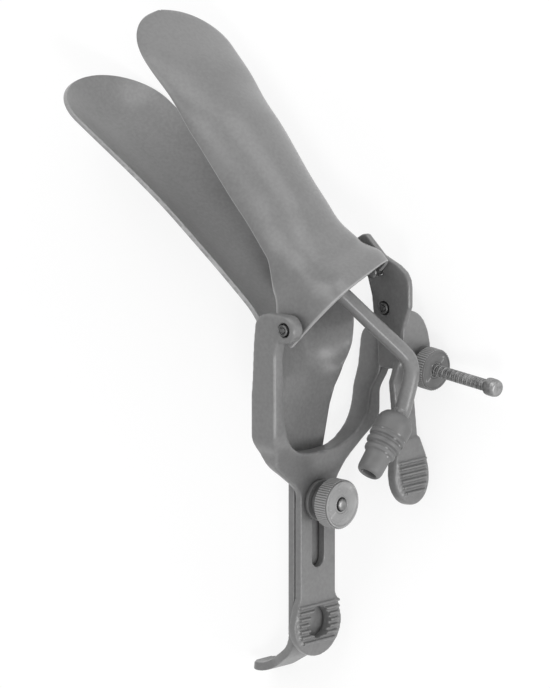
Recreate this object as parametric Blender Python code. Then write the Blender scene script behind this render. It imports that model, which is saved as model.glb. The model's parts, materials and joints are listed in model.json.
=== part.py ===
# Insulated two-bladed vaginal speculum with a smoke tube, lying on its right side.
#
# The instrument is drawn upright first: +X to its right, +Y along the blades, +Z up,
# with the hinge axis of the upper blade through the origin. At the end it is laid on
# its right side, on the three points that it comes to rest on.

import math

import bmesh
import bpy
from mathutils import Matrix, Vector

MM = 0.001

# Clearances
CLEAR = 0.3 * MM
HOLE_CLEAR = 0.3 * MM

# Blades
SHEET = 1.2 * MM
UPPER_LENGTH = 104.8 * MM
UPPER_START = -3 * MM
UPPER_PITCH = math.radians(45)
LOWER_LENGTH = 113.3 * MM
LOWER_PITCH = math.radians(38)
LOWER_DROP = 15.5 * MM
LOWER_BOW = 480 * MM
LOWER_BOW_START = 30 * MM
THROAT_HALF = 16.9 * MM
BLADE_HALF = 15.8 * MM
BLADE_TIP_HALF = 17.5 * MM
LOWER_HALF = 17.0 * MM
LOWER_TIP_HALF = 19.2 * MM
TIP_ROUND = 16 * MM
THROAT_RADIUS = 26 * MM
TAIL_HALF = 7.6 * MM
TAIL_END = -50 * MM
EDGE_SLANT = 0.28
ALONG_STEPS = 30
ACROSS_STEPS = 18

# Yoke
ARM_THICK = 4.5 * MM
ARM_TOP_FRONT = 10.2 * MM
ARM_FRONT = 12.7 * MM
ARM_ROUND = 2.6 * MM
ARM_REAR = 3.4 * MM
YOKE_FRONT = 11.4 * MM
BOSS_RADIUS = 4.1 * MM
WINDOW_BOTTOM = -40 * MM
WINDOW_CURVE = 17 * MM
WEB_SHOULDER = -33 * MM
WEB_END = -52 * MM
SHANK_WIDTH = 14.7 * MM
SHANK_THICK = 2.4 * MM
SHANK_END = -83 * MM
YOKE_BOTTOM = -101 * MM
PAD_WIDTH = 20 * MM
PAD_HOLE_RADIUS = 4.5 * MM
PAD_HOLE_Z = -91 * MM
RIDGE_PITCH = 1.8 * MM
RIDGE_HEIGHT = 0.7 * MM
RIDGE_COUNT = 7
EDGE_BEVEL = 0.7 * MM

# Slot, guide and clamp
SLOT_WIDTH = 5.0 * MM
SLIDE_TRAVEL = 15 * MM
STUD_Z = -54.8 * MM
STUD_RADIUS = 2.0 * MM
GUIDE_LENGTH = 9.0 * MM
WASHER_RADIUS = 6.0 * MM
WASHER_THICK = 1.2 * MM
CLAMP_NUT_RADIUS = 7.2 * MM
CLAMP_NUT_THICK = 5.0 * MM
CLAMP_COLLAR_RADIUS = 4.8 * MM
CLAMP_COLLAR_LENGTH = 2.8 * MM

# Lower handle
HANDLE_THICK = 2.4 * MM
HANDLE_TOP = -41.5 * MM
HANDLE_BEND_Z = -91.5 * MM
FOOT_RADIUS = 11 * MM
FOOT_TURN = math.radians(58)
FOOT_LENGTH = 5 * MM
LIP_RADIUS = 12 * MM
LIP_TURN = math.radians(42)
NECK_HALF = 4.8 * MM
LIP_HALF = 5.6 * MM
RIVET_RADIUS = 1.3 * MM
RIVET_SPREAD = 4.0 * MM
RIVET_Z = -45.6 * MM

# Hinge
PIN_RADIUS = 1.7 * MM
PIN_HEAD_RADIUS = 2.8 * MM
PIN_HEAD = 0.9 * MM

# Lever
LEVER_THICK = 2.0 * MM
LEVER_BEVEL = 0.45 * MM
LEVER_REAR_TOP = -9.8 * MM
STRIP_THICK = 2.2 * MM
KNEE_Z = -17.4 * MM
SHANK_HALF = 4.2 * MM
PADDLE_HALF = 7.25 * MM
PADDLE_TOP_Z = -37 * MM
PADDLE_Z = -48 * MM
LEVER_BOTTOM = -56.5 * MM
PADDLE_THICK = 3.6 * MM
PADDLE_RIDGES = 6
LEVER_RIVETS = (9 * MM, 14.5 * MM)
LEVER_RIVET_HEIGHT = 6.3 * MM

# Threaded rod
ROD_ANCHOR_Y = 8.0 * MM
ROD_ANCHOR_Z = -16.2 * MM
ROD_FALL = math.radians(4.6)
ROD_RADIUS = 1.8 * MM
ROD_LENGTH = 39.6 * MM
EYE_RADIUS = 4.4 * MM
EYE_THICK = 3.6 * MM
EAR_AT = 13.5 * MM
ANCHOR_DEPTH = 3.2 * MM
KNOB_RADIUS = 2.6 * MM
ROD_NUT_RADIUS = 6.1 * MM
ROD_NUT_THICK = 4.6 * MM
ROD_COLLAR_RADIUS = 3.2 * MM
ROD_COLLAR_LENGTH = 0.9 * MM
NUT_GAP = 0.6 * MM

# Smoke tube
TUBE_RADIUS = 2.4 * MM
TUBE_BORE = 1.7 * MM
TUBE_FRONT = 80 * MM
SADDLE_FRONT = 56 * MM
SADDLE_REAR = 38 * MM
CONNECTOR_LENGTH = 20 * MM
CONNECTOR_RADIUS = 5.5 * MM

# Places that follow from the sizes above
LEVER_IN = THROAT_HALF + SHEET / 2 + CLEAR
LEVER_OUT = LEVER_IN + LEVER_THICK
ARM_IN = LEVER_OUT + CLEAR
EAR_HALF = ARM_IN - CLEAR - SHEET / 2
ARM_OUT = ARM_IN + ARM_THICK
SHANK_REAR = YOKE_FRONT - SHANK_THICK
HANDLE_REAR = YOKE_FRONT + CLEAR
HANDLE_FRONT = HANDLE_REAR + HANDLE_THICK
TAIL_Y = HANDLE_FRONT + CLEAR + SHEET / 2
ROD_X = ARM_OUT + CLEAR + EYE_THICK / 2
SLOT_TOP = STUD_Z + GUIDE_LENGTH / 2 + CLEAR
SLOT_BOTTOM = STUD_Z - GUIDE_LENGTH / 2 - CLEAR - SLIDE_TRAVEL
WASHER_FRONT = SHANK_REAR - CLEAR
NUT_FRONT = WASHER_FRONT - WASHER_THICK - CLEAR
NUT_REAR = NUT_FRONT - CLAMP_COLLAR_LENGTH - CLAMP_NUT_THICK

RIGHT = Vector((1, 0, 0))
FORWARD = Vector((0, 1, 0))
UP = Vector((0, 0, 1))


# Small helpers


def material(name, colour, roughness, metallic):
    made = bpy.data.materials.new(name)
    made.use_nodes = True
    shader = made.node_tree.nodes["Principled BSDF"]
    shader.inputs["Base Color"].default_value = (*colour, 1)
    shader.inputs["Roughness"].default_value = roughness
    shader.inputs["Metallic"].default_value = metallic
    return made


def mesh_object(name, bm):
    """An object made of a bmesh, with its faces turned outwards."""
    bmesh.ops.remove_doubles(bm, verts=bm.verts, dist=1e-6)
    bmesh.ops.recalc_face_normals(bm, faces=bm.faces)
    mesh = bpy.data.meshes.new(name)
    bm.to_mesh(mesh)
    bm.free()
    made = bpy.data.objects.new(name, mesh)
    bpy.context.scene.collection.objects.link(made)
    return made


def bake(target):
    """Replaces the object's mesh by its evaluated one, with no modifiers left."""
    evaluated = target.evaluated_get(bpy.context.evaluated_depsgraph_get())
    mesh = bpy.data.meshes.new_from_object(evaluated)
    target.modifiers.clear()
    target.data = mesh
    return target


def combine(target, tools, operation):
    """Cuts or joins the tools to the target one by one, and removes them."""
    for tool in tools:
        step = target.modifiers.new("combine", "BOOLEAN")
        step.operation = operation
        step.object = tool
        bake(target)
        bpy.data.objects.remove(tool)
    return target


def tidied(target):
    """Joins corners that lie on each other and drops slivers between them."""
    bm = bmesh.new()
    bm.from_mesh(target.data)
    bmesh.ops.remove_doubles(bm, verts=bm.verts, dist=5e-6)
    bmesh.ops.dissolve_degenerate(bm, edges=bm.edges, dist=5e-6)
    bm.to_mesh(target.data)
    bm.free()
    return target


def bevelled(target, width, segments=2, angle=40):
    step = target.modifiers.new("bevel", "BEVEL")
    step.width = width
    step.segments = segments
    step.limit_method = "ANGLE"
    step.angle_limit = math.radians(angle)
    return tidied(bake(target))


def prism(name, outline, origin, across, upward, start, end):
    """A prism on a flat outline: outline points lie along across and upward, and it
    runs from start to end along their cross product."""
    depth = across.cross(upward).normalized()
    bm = bmesh.new()
    rings = [
        [bm.verts.new(origin + across * u + upward * v + depth * d) for u, v in outline]
        for d in (start, end)
    ]
    bm.faces.new(rings[0])
    bm.faces.new(rings[1])
    for i in range(len(outline)):
        j = (i + 1) % len(outline)
        bm.faces.new((rings[0][i], rings[0][j], rings[1][j], rings[1][i]))
    return mesh_object(name, bm)


def turned(name, profile, origin, axis, sides=32):
    """A turned solid: the profile's points are (distance along the axis, radius), and
    a point on the axis closes an end."""
    side = axis.orthogonal().normalized()
    other = axis.cross(side).normalized()
    bm = bmesh.new()
    rings = []
    for along, radius in profile:
        middle = origin + axis * along
        if radius == 0:
            rings.append([bm.verts.new(middle)] * sides)
            continue
        turns = [2 * math.pi * k / sides for k in range(sides)]
        rings.append(
            [
                bm.verts.new(middle + (side * math.cos(t) + other * math.sin(t)) * radius)
                for t in turns
            ]
        )
    closed = profile[0][1] > 0 and profile[-1][1] > 0
    pairs = list(zip(rings, rings[1:]))
    if closed:
        pairs.append((rings[-1], rings[0]))
    for low, high in pairs:
        for k in range(sides):
            m = (k + 1) % sides
            corners = [low[k], low[m], high[m], high[k]]
            face = [v for i, v in enumerate(corners) if v not in corners[:i]]
            if len(face) > 2:
                bm.faces.new(face)
    return mesh_object(name, bm)


def rod_between(name, start, end, radius, sides=24):
    axis = (end - start).normalized()
    length = (end - start).length
    return turned(name, [(0, 0), (0, radius), (length, radius), (length, 0)], start, axis, sides)


def arc(centre, radius, first, last, steps):
    """Points on an arc, both ends included. Angles are in degrees."""
    turns = [math.radians(first + (last - first) * k / steps) for k in range(steps + 1)]
    return [(centre[0] + radius * math.cos(t), centre[1] + radius * math.sin(t)) for t in turns]


def eased(stations, at):
    """A value read from (place, value) stations, smooth from each to the next."""
    if at <= stations[0][0]:
        return stations[0][1]
    for (a, low), (b, high) in zip(stations, stations[1:]):
        if at <= b:
            t = (at - a) / (b - a)
            return low + (high - low) * t * t * (3 - 2 * t)
    return stations[-1][1]


def sheet_solid(name, rows, thickness):
    """A pressed sheet: rows of points on its middle surface, thickened both ways."""
    count, width = len(rows), len(rows[0])
    bm = bmesh.new()
    faces = {1: [], -1: []}
    for i in range(count):
        for side in faces:
            faces[side].append([])
        for j in range(width):
            along = rows[min(i + 1, count - 1)][j] - rows[max(i - 1, 0)][j]
            across = rows[i][min(j + 1, width - 1)] - rows[i][max(j - 1, 0)]
            normal = along.cross(across).normalized()
            for side in faces:
                point = rows[i][j] + normal * side * thickness / 2
                faces[side][i].append(bm.verts.new(point))
    for side, grid in faces.items():
        for i in range(count - 1):
            for j in range(width - 1):
                bm.faces.new((grid[i][j], grid[i + 1][j], grid[i + 1][j + 1], grid[i][j + 1]))
    rim = [(i, 0) for i in range(count)]
    rim += [(count - 1, j) for j in range(1, width)]
    rim += [(i, width - 1) for i in range(count - 2, -1, -1)]
    rim += [(0, j) for j in range(width - 2, 0, -1)]
    for k, (i, j) in enumerate(rim):
        p, q = rim[(k + 1) % len(rim)]
        bm.faces.new((faces[1][i][j], faces[1][p][q], faces[-1][p][q], faces[-1][i][j]))
    return mesh_object(name, bm)


def swept(name, path, sections):
    """A solid swept along a path: sections holds one closed ring of points for each."""
    bm = bmesh.new()
    rings = [[bm.verts.new(p) for p in ring] for ring in sections]
    for low, high in zip(rings, rings[1:]):
        for k in range(len(low)):
            m = (k + 1) % len(low)
            bm.faces.new((low[k], low[m], high[m], high[k]))
    bm.faces.new(rings[0])
    bm.faces.new(rings[-1])
    return mesh_object(name, bm)


def smooth_path(points, steps):
    """A curve through the points, with steps stretches between each two."""
    ends = [points[0] * 2 - points[1], *points, points[-1] * 2 - points[-2]]
    path = []
    for a, b, c, d in zip(ends, ends[1:], ends[2:], ends[3:]):
        for k in range(steps):
            t = k / steps
            path.append(
                (b * 2 + (c - a) * t + (a * 2 - b * 5 + c * 4 - d) * t * t
                 + (b * 3 - a - c * 3 + d) * t ** 3) / 2
            )
    return [*path, points[-1]]


# Blades


def upper_point(x, along, height):
    """A point of the upper blade: along it from the hinge axis, and above that line."""
    turn = UPPER_PITCH
    return Vector((
        x,
        along * math.cos(turn) - height * math.sin(turn),
        along * math.sin(turn) + height * math.cos(turn),
    ))


def tip_taper(along, length):
    """Share of the width left at a place in the rounded tip."""
    tip = (along - (length - TIP_ROUND)) / TIP_ROUND
    return math.sqrt(max(1 - max(tip, 0) ** 2, 0.004))


def upper_half(along, throat):
    """Half the width of the upper blade on the side where its throat is this wide."""
    waist = eased(
        [(3 * MM, throat), (16 * MM, THROAT_HALF - 0.9 * MM), (36 * MM, BLADE_HALF - 0.6 * MM),
         (62 * MM, BLADE_HALF + 0.4 * MM), (UPPER_LENGTH - TIP_ROUND, BLADE_TIP_HALF)],
        along,
    )
    return waist * tip_taper(along, UPPER_LENGTH)


def blade_stations(first, length):
    """Places along a blade, closer together round its tip."""
    body = length - TIP_ROUND
    places = [first + (body - first) * k / ALONG_STEPS for k in range(ALONG_STEPS)]
    turns = [math.pi / 2 * k / 8 for k in range(9)]
    return places + [body + TIP_ROUND * math.sin(t) * 0.998 for t in turns]


def upper_ridge(along):
    """Height of the upper blade's middle line."""
    return eased(
        [(0, 16.2 * MM), (12 * MM, 12.2 * MM), (21 * MM, 11.9 * MM), (34 * MM, 13.4 * MM),
         (62 * MM, 13.9 * MM), (80 * MM, 11.0 * MM), (UPPER_LENGTH, 6.0 * MM)],
        along,
    )


def upper_rim(along, side):
    """Height of the upper blade's edges: the left one drops beside the hinge."""
    rear = -5.8 * MM if side < 0 else 5.6 * MM
    return eased(
        [(2 * MM, rear), (12 * MM, 0.6 * MM + rear * 0.4), (23 * MM, 2.9 * MM), (38 * MM, 3.2 * MM),
         (64 * MM, 4.8 * MM), (80 * MM, 6.4 * MM), (90 * MM, 6.1 * MM), (UPPER_LENGTH, 5.4 * MM)],
        along,
    )


def upper_section(along, steps):
    """Points across the upper blade, from its left edge to its right one."""
    ridge = upper_ridge(along)
    square = eased([(8 * MM, 0.5), (30 * MM, 1)], along)
    curve = eased([(8 * MM, 0.85), (30 * MM, 1.4)], along)
    row = []
    for k in range(steps + 1):
        turn = math.pi * k / steps
        side = -1 if k < steps / 2 else 1
        half = upper_half(along, EAR_HALF if side < 0 else THROAT_HALF)
        rim = upper_rim(along, side)
        x = side * half * abs(math.cos(turn)) ** square
        row.append((x, rim + (ridge - rim) * math.sin(turn) ** curve))
    return row


def upper_blade():
    rows = []
    for along in blade_stations(UPPER_START, UPPER_LENGTH):
        slant = EDGE_SLANT * max(1 - along / (30 * MM), 0)
        rows.append([
            upper_point(x, along + (x + EAR_HALF) * slant, height)
            for x, height in upper_section(along, ACROSS_STEPS)
        ])
    blade = sheet_solid("upper_blade", rows, SHEET)
    tools = [rod_between("hole", RIGHT * -(EAR_HALF - 5 * MM), RIGHT * -(EAR_HALF + 4 * MM),
                         PIN_RADIUS + HOLE_CLEAR)]
    for along in LEVER_RIVETS:
        middle = upper_point(THROAT_HALF, along, LEVER_RIVET_HEIGHT)
        tools.append(rod_between("hole", middle - RIGHT * 4 * MM, middle + RIGHT * 3 * MM,
                                 RIVET_RADIUS + HOLE_CLEAR))
    return combine(blade, tools, "DIFFERENCE")


def lower_path():
    """The lower blade's middle line, from the end of its tail to its tip: for each
    place the point, the blade's slope there, and the distance run."""
    slope = Vector((0, math.cos(LOWER_PITCH), math.sin(LOWER_PITCH)))
    normal = Vector((0, -math.sin(LOWER_PITCH), math.cos(LOWER_PITCH)))
    turn = math.pi / 2 - LOWER_PITCH
    corner_along = (TAIL_Y - LOWER_DROP * math.sin(LOWER_PITCH)) / math.cos(LOWER_PITCH)
    corner = slope * corner_along - normal * LOWER_DROP
    reach = THROAT_RADIUS * math.tan(turn / 2)
    bottom = corner - UP * reach
    centre = bottom + FORWARD * THROAT_RADIUS
    tail_length = bottom.z - TAIL_END
    places = []
    for k in range(8):
        run = tail_length * k / 8
        places.append((Vector((0, TAIL_Y, TAIL_END + run)), math.pi / 2, run))
    for k in range(11):
        bend = turn * k / 11
        point = centre + Vector((0, -math.cos(bend), math.sin(bend))) * THROAT_RADIUS
        places.append((point, math.pi / 2 - bend, tail_length + THROAT_RADIUS * bend))
    run = tail_length + THROAT_RADIUS * turn
    start = corner_along + reach
    for along in blade_stations(start, LOWER_LENGTH):
        past = max(along - LOWER_BOW_START, 0)
        bow = past ** 2 / (2 * LOWER_BOW)
        places.append((slope * along - normal * (LOWER_DROP + bow), LOWER_PITCH - past / LOWER_BOW,
                       run + along - start))
    return places, tail_length, run, start


def lower_blade():
    places, tail, bend, start = lower_path()
    half_stations = [
        (0, TAIL_HALF), (tail * 0.3, TAIL_HALF), (tail * 0.7, TAIL_HALF * 1.3), (tail, TAIL_HALF * 1.7),
        (tail + (bend - tail) * 0.5, THROAT_HALF - 1.2 * MM), (bend, THROAT_HALF),
        (bend + 34 * MM, LOWER_HALF),
        (bend + LOWER_LENGTH - start - TIP_ROUND, LOWER_TIP_HALF),
    ]
    depth_stations = [
        (0, 0), (tail * 0.8, 0), (tail + (bend - tail) * 0.5, 4.6 * MM), (bend, 7.0 * MM),
        (bend + 30 * MM, 5.4 * MM), (bend + LOWER_LENGTH - start, 4.8 * MM),
    ]
    rows = []
    for point, pitch, run in places:
        inward = Vector((0, -math.sin(pitch), math.cos(pitch)))
        taper = tip_taper(run - bend + start, LOWER_LENGTH) if run > bend else 1
        half = eased(half_stations, run) * taper
        depth = eased(depth_stations, run)
        row = []
        for k in range(ACROSS_STEPS + 1):
            share = 2 * k / ACROSS_STEPS - 1
            rise = depth * (1 - taper ** 2 * (1 - share ** 2))
            row.append(point + RIGHT * half * share + inward * rise)
        rows.append(row)
    blade = sheet_solid("lower_blade", rows, SHEET)
    for side in (-1, 1):
        middle = Vector((side * RIVET_SPREAD, TAIL_Y, RIVET_Z))
        hole = rod_between("hole", middle - FORWARD * 3 * MM, middle + FORWARD * 3 * MM,
                           RIVET_RADIUS + HOLE_CLEAR)
        combine(blade, [hole], "DIFFERENCE")
    return blade


# Yoke


def yoke_front_outline():
    """The yoke seen from behind: two arms round a window, a web, a shank and a pad."""
    top = BOSS_RADIUS + MM
    curve = []
    for k in range(1, 13):
        t = math.pi / 2 * k / 12
        curve.append((ARM_IN * math.cos(t) ** 0.8,
                      WINDOW_BOTTOM + WINDOW_CURVE * (1 - math.sin(t) ** 0.8)))
    window = [(ARM_IN, top), (ARM_IN, WINDOW_BOTTOM + WINDOW_CURVE), *curve]
    outer = [(ARM_OUT, top), (ARM_OUT, WEB_SHOULDER)]
    half_shank = SHANK_WIDTH / 2
    for k in range(1, 13):
        t = k / 12
        ease = t * t * (3 - 2 * t)
        outer.append((ARM_OUT + (half_shank - ARM_OUT) * (0.75 * ease + 0.25 * t),
                      WEB_SHOULDER + (WEB_END - WEB_SHOULDER) * t))
    pad = PAD_WIDTH / 2
    outer.append((half_shank, SHANK_END))
    centre = (0, YOKE_BOTTOM + pad)
    outer.append((pad - 1.2 * MM, SHANK_END - 3.4 * MM))
    outer += [p for p in arc(centre, pad, 0, -84, 10)]
    right = outer + [(0, YOKE_BOTTOM)]
    left = [(-x, z) for x, z in reversed(outer)]
    inner_left = [(-x, z) for x, z in window]
    inner = inner_left + list(reversed(window[:-1]))
    return right + left + inner


def yoke_side_outline():
    """The yoke seen from its right: boss, arm, web and thin shank."""
    front_centre = ARM_TOP_FRONT - BOSS_RADIUS
    top = arc((front_centre, -0.3 * MM), BOSS_RADIUS, 0, 90, 6)
    boss = arc((0, 0), BOSS_RADIUS, 90, 305, 16)
    web_rear = WINDOW_BOTTOM + 9 * MM
    web_low = STUD_Z + CLAMP_NUT_RADIUS + 1 * MM
    rear = [(ARM_REAR, -8 * MM), (ARM_REAR, web_rear)]
    for k in range(1, 9):
        t = k / 8
        ease = t * t * (3 - 2 * t)
        rear.append((ARM_REAR + (SHANK_REAR - ARM_REAR) * ease, web_rear + (web_low - web_rear) * t))
    bottom = [(SHANK_REAR, YOKE_BOTTOM - MM), (YOKE_FRONT, YOKE_BOTTOM - MM)]
    front = [(YOKE_FRONT, HANDLE_TOP - MM), (ARM_FRONT, HANDLE_TOP + 4 * MM), (ARM_FRONT, -20 * MM)]
    return top + boss + rear + bottom + front


def yoke():
    depth = 30 * MM
    frame = prism("yoke", yoke_front_outline(), Vector(), RIGHT, UP, -depth, depth)
    side = prism("side", yoke_side_outline(), Vector(), FORWARD, UP, -depth, depth)
    combine(frame, [side], "INTERSECT")
    round_arms(frame)
    bevelled(frame, EDGE_BEVEL)
    cutters = [slot_cutter(), pad_hole_cutter()]
    for side_sign in (-1, 1):
        cutters.append(rod_between("hole", RIGHT * side_sign * (ARM_IN - 2 * MM),
                                   RIGHT * side_sign * (ARM_OUT + 2 * MM), PIN_RADIUS + HOLE_CLEAR))
    anchor = Vector((0, ROD_ANCHOR_Y, ROD_ANCHOR_Z))
    cutters.append(rod_between("hole", anchor + RIGHT * (ARM_OUT - ANCHOR_DEPTH - CLEAR),
                               anchor + RIGHT * (ARM_OUT + 2 * MM), PIN_RADIUS + HOLE_CLEAR))
    ridges = []
    for k in range(RIDGE_COUNT):
        ridges.append(pad_ridge(PAD_HOLE_Z + (RIDGE_COUNT / 2 - 0.5 - k) * RIDGE_PITCH))
    combine(frame, ridges, "UNION")
    return combine(frame, cutters, "DIFFERENCE")


def round_arms(frame):
    """Rounds the corner between the outside and the rear of both arms."""
    tidied(frame)
    bm = bmesh.new()
    bm.from_mesh(frame.data)
    low = WINDOW_BOTTOM + 4 * MM
    chosen = []
    for edge in bm.edges:
        a, b = edge.verts[0].co, edge.verts[1].co
        if len(edge.link_faces) != 2 or min(a.z, b.z) < low or max(a.z, b.z) > -BOSS_RADIUS:
            continue
        normals = [face.normal for face in edge.link_faces]
        outside = any(n.x * (a.x + b.x) > 0 and abs(n.x) > 0.8 for n in normals)
        if outside and any(n.y < -0.6 for n in normals):
            chosen.append(edge)
    bmesh.ops.bevel(bm, geom=chosen, offset=ARM_ROUND, segments=3, profile=0.5, affect="EDGES",
                    clamp_overlap=True)
    bm.to_mesh(frame.data)
    bm.free()
    return tidied(frame)


def pad_ridge(z):
    """One grip ridge across the pad of the yoke, kept inside the pad's rounded outline."""
    pad = PAD_WIDTH / 2
    below = YOKE_BOTTOM + pad - z
    half = math.sqrt(pad ** 2 - max(below, 0) ** 2) - 1.6 * MM
    width = RIDGE_PITCH * 0.28
    root = SHANK_REAR + 0.4 * MM
    crest = SHANK_REAR - RIDGE_HEIGHT
    outline = [(root, -width * 1.3), (root, width * 1.3), (crest, width * 0.6), (crest, -width * 0.6)]
    return prism("ridge", outline, UP * z, FORWARD, UP, -half, half)


def slot_cutter():
    half = SLOT_WIDTH / 2
    outline = arc((0, SLOT_TOP - half), half, 0, 180, 10) + arc((0, SLOT_BOTTOM + half), half, 180, 360, 10)
    return prism("slot", outline, Vector(), RIGHT, UP, -30 * MM, 30 * MM)


def pad_hole_cutter():
    start = Vector((0, 0, PAD_HOLE_Z))
    return rod_between("hole", start, start + FORWARD * 30 * MM, PAD_HOLE_RADIUS)


# Handle strip of the lower blade


def lower_handle():
    """A strip behind the yoke's shank, its foot bent forwards and rounded."""
    middle = (HANDLE_REAR + HANDLE_FRONT) / 2
    places = [(middle, HANDLE_TOP + (HANDLE_BEND_Z - HANDLE_TOP) * k / 4, 0.0) for k in range(4)]
    centre = middle + FOOT_RADIUS
    for k in range(9):
        turn = FOOT_TURN * k / 8
        places.append((centre - FOOT_RADIUS * math.cos(turn), HANDLE_BEND_Z - FOOT_RADIUS * math.sin(turn), turn))
    bend = len(places) - 1
    y, z, turn = places[-1]
    for k in range(1, 4):
        run = FOOT_LENGTH * k / 3
        places.append((y + run * math.sin(turn), z - run * math.cos(turn), turn))
    neck = len(places) - 1
    y, z, turn = places[-1]
    centre_y, centre_z = y + LIP_RADIUS * math.cos(turn), z + LIP_RADIUS * math.sin(turn)
    for k in range(1, 11):
        curl = turn + LIP_TURN * math.sin(math.pi / 2 * k / 10)
        places.append((centre_y - LIP_RADIUS * math.cos(curl), centre_z - LIP_RADIUS * math.sin(curl), curl))
    rings = []
    for i, (y, z, turn) in enumerate(places):
        half = eased([(4, SHANK_WIDTH / 2), (bend, NECK_HALF + MM), (neck, NECK_HALF)], i)
        if i > neck:
            tip = (i - neck) / 10
            half = (NECK_HALF + (LIP_HALF - NECK_HALF) * math.sin(math.pi * min(tip * 1.4, 1) / 2))
            half *= math.sqrt(max(1 - max(tip * 1.6 - 0.6, 0) ** 2, 0.05))
        thick = HANDLE_THICK / 2
        outward = Vector((0, math.cos(turn), math.sin(turn)))
        point = Vector((0, y, z))
        rings.append([
            point + RIGHT * half + outward * thick,
            point - RIGHT * half + outward * thick,
            point - RIGHT * half - outward * thick,
            point + RIGHT * half - outward * thick,
        ])
    strip = bevelled(swept("lower_handle", places, rings), EDGE_BEVEL * 0.8, 2, 50)
    stud = Vector((0, middle, STUD_Z))
    holes = [rod_between("hole", stud - FORWARD * 3 * MM, stud + FORWARD * 3 * MM, STUD_RADIUS + HOLE_CLEAR)]
    for side in (-1, 1):
        rivet = Vector((side * RIVET_SPREAD, middle, RIVET_Z))
        holes.append(rod_between("hole", rivet - FORWARD * 3 * MM, rivet + FORWARD * 3 * MM,
                                 RIVET_RADIUS + HOLE_CLEAR))
    return combine(strip, holes, "DIFFERENCE")


def blade_rivet(name, side):
    """Holds the lower blade's tail on the handle strip: flush behind, domed in front."""
    start = Vector((side * RIVET_SPREAD, HANDLE_REAR + 0.1 * MM, RIVET_Z))
    length = TAIL_Y + SHEET / 2 + CLEAR - start.y
    head = RIVET_RADIUS * 1.8
    profile = [(0, 0), (0, RIVET_RADIUS), (length, RIVET_RADIUS), (length, head),
               (length + 0.5 * MM, head * 0.85), (length + 0.9 * MM, head * 0.45), (length + MM, 0)]
    return turned(name, profile, start, FORWARD, 20)


def clamp_stud():
    """Threaded stud with its head in front of the handle strip."""
    head = HANDLE_FRONT + CLEAR
    rear = NUT_REAR - 0.4 * MM
    profile = [(0, 0), (0, STUD_RADIUS - 0.3 * MM), (0.3 * MM, STUD_RADIUS), (head - rear, STUD_RADIUS),
               (head - rear, STUD_RADIUS * 1.8), (head - rear + 1.1 * MM, STUD_RADIUS * 1.8),
               (head - rear + 1.4 * MM, STUD_RADIUS * 1.5), (head - rear + 1.4 * MM, 0)]
    return turned("clamp_stud", profile, Vector((0, rear, STUD_Z)), FORWARD, 24)


def slide_guide():
    """Oblong block round the stud that keeps the yoke straight on the handle."""
    half = SLOT_WIDTH / 2 - CLEAR
    reach = GUIDE_LENGTH / 2 - half
    outline = arc((0, STUD_Z + reach), half, 0, 180, 8) + arc((0, STUD_Z - reach), half, 180, 360, 8)
    rear = SHANK_REAR + CLEAR
    block = prism("slide_guide", outline, Vector(), RIGHT, UP, -(HANDLE_REAR - 0.05 * MM), -rear)
    bore = STUD_RADIUS + 0.15 * MM
    start = Vector((0, 0, STUD_Z))
    return combine(block, [rod_between("hole", start, start + FORWARD * 20 * MM, bore, 20)], "DIFFERENCE")


def clamp_washer():
    bore = STUD_RADIUS + HOLE_CLEAR
    profile = [(0, bore), (0, WASHER_RADIUS), (WASHER_THICK, WASHER_RADIUS), (WASHER_THICK, bore)]
    return turned("clamp_washer", profile, Vector((0, WASHER_FRONT - WASHER_THICK, STUD_Z)), FORWARD, 32)


def knurled(name, origin, axis, bore, radius, thick, collar_radius, collar_length, teeth, dish):
    """A knurled nut: the axis points from its outer face to its collar."""
    nut = turned(
        name,
        [(0.0, bore), (dish, bore), (dish, radius * 0.34), (0, radius * 0.42), (0, radius * 0.5),
         (dish, radius * 0.6), (dish, radius * 0.74), (0, radius * 0.86), (0.0, radius * 0.93),
         (0.5 * MM, radius), (thick - 0.5 * MM, radius), (thick, radius * 0.94),
         (thick, collar_radius), (thick + collar_length, collar_radius), (thick + collar_length, bore)],
        origin, axis, teeth * 2,
    )
    middle = origin
    for vert in nut.data.vertices:
        offset = vert.co - middle
        out = offset - axis * offset.dot(axis)
        if out.length < radius * 0.97:
            continue
        side = axis.orthogonal().normalized()
        turn = math.atan2(out.dot(axis.cross(side)), out.dot(side))
        if round(turn / (math.pi / teeth)) % 2:
            vert.co -= out.normalized() * radius * 0.045
    return nut


def clamp_nut():
    bore = STUD_RADIUS + 0.15 * MM
    return knurled("clamp_nut", Vector((0, NUT_REAR, STUD_Z)), FORWARD, bore, CLAMP_NUT_RADIUS,
                   CLAMP_NUT_THICK, CLAMP_COLLAR_RADIUS, CLAMP_COLLAR_LENGTH, 30, 0.5 * MM)


# Hinge


def pivot_screw(name, side):
    """Hinge screw through the arm: its head is inside on the left and outside on the
    right, where the lever carries the blade."""
    inner = EAR_HALF - SHEET / 2 - CLEAR - 0.6 * MM if side < 0 else LEVER_IN - 0.5 * MM
    outer = ARM_OUT + CLEAR
    start, end = RIGHT * side * inner, RIGHT * side * outer
    if side < 0:
        start, end = end + RIGHT * 0.1 * MM, start
    axis = (end - start).normalized()
    length = (end - start).length
    profile = [(0, 0), (0, PIN_RADIUS * 0.8), (0.3 * MM, PIN_RADIUS), (length, PIN_RADIUS),
               (length, PIN_HEAD_RADIUS), (length + PIN_HEAD * 0.7, PIN_HEAD_RADIUS),
               (length + PIN_HEAD, PIN_HEAD_RADIUS * 0.8), (length + PIN_HEAD, 0)]
    return turned(name, profile, start, axis, 24)


# Lever


def rod_direction():
    return Vector((0, -math.cos(ROD_FALL), -math.sin(ROD_FALL)))


def rod_anchor():
    return Vector((ROD_X, ROD_ANCHOR_Y, ROD_ANCHOR_Z))


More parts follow.
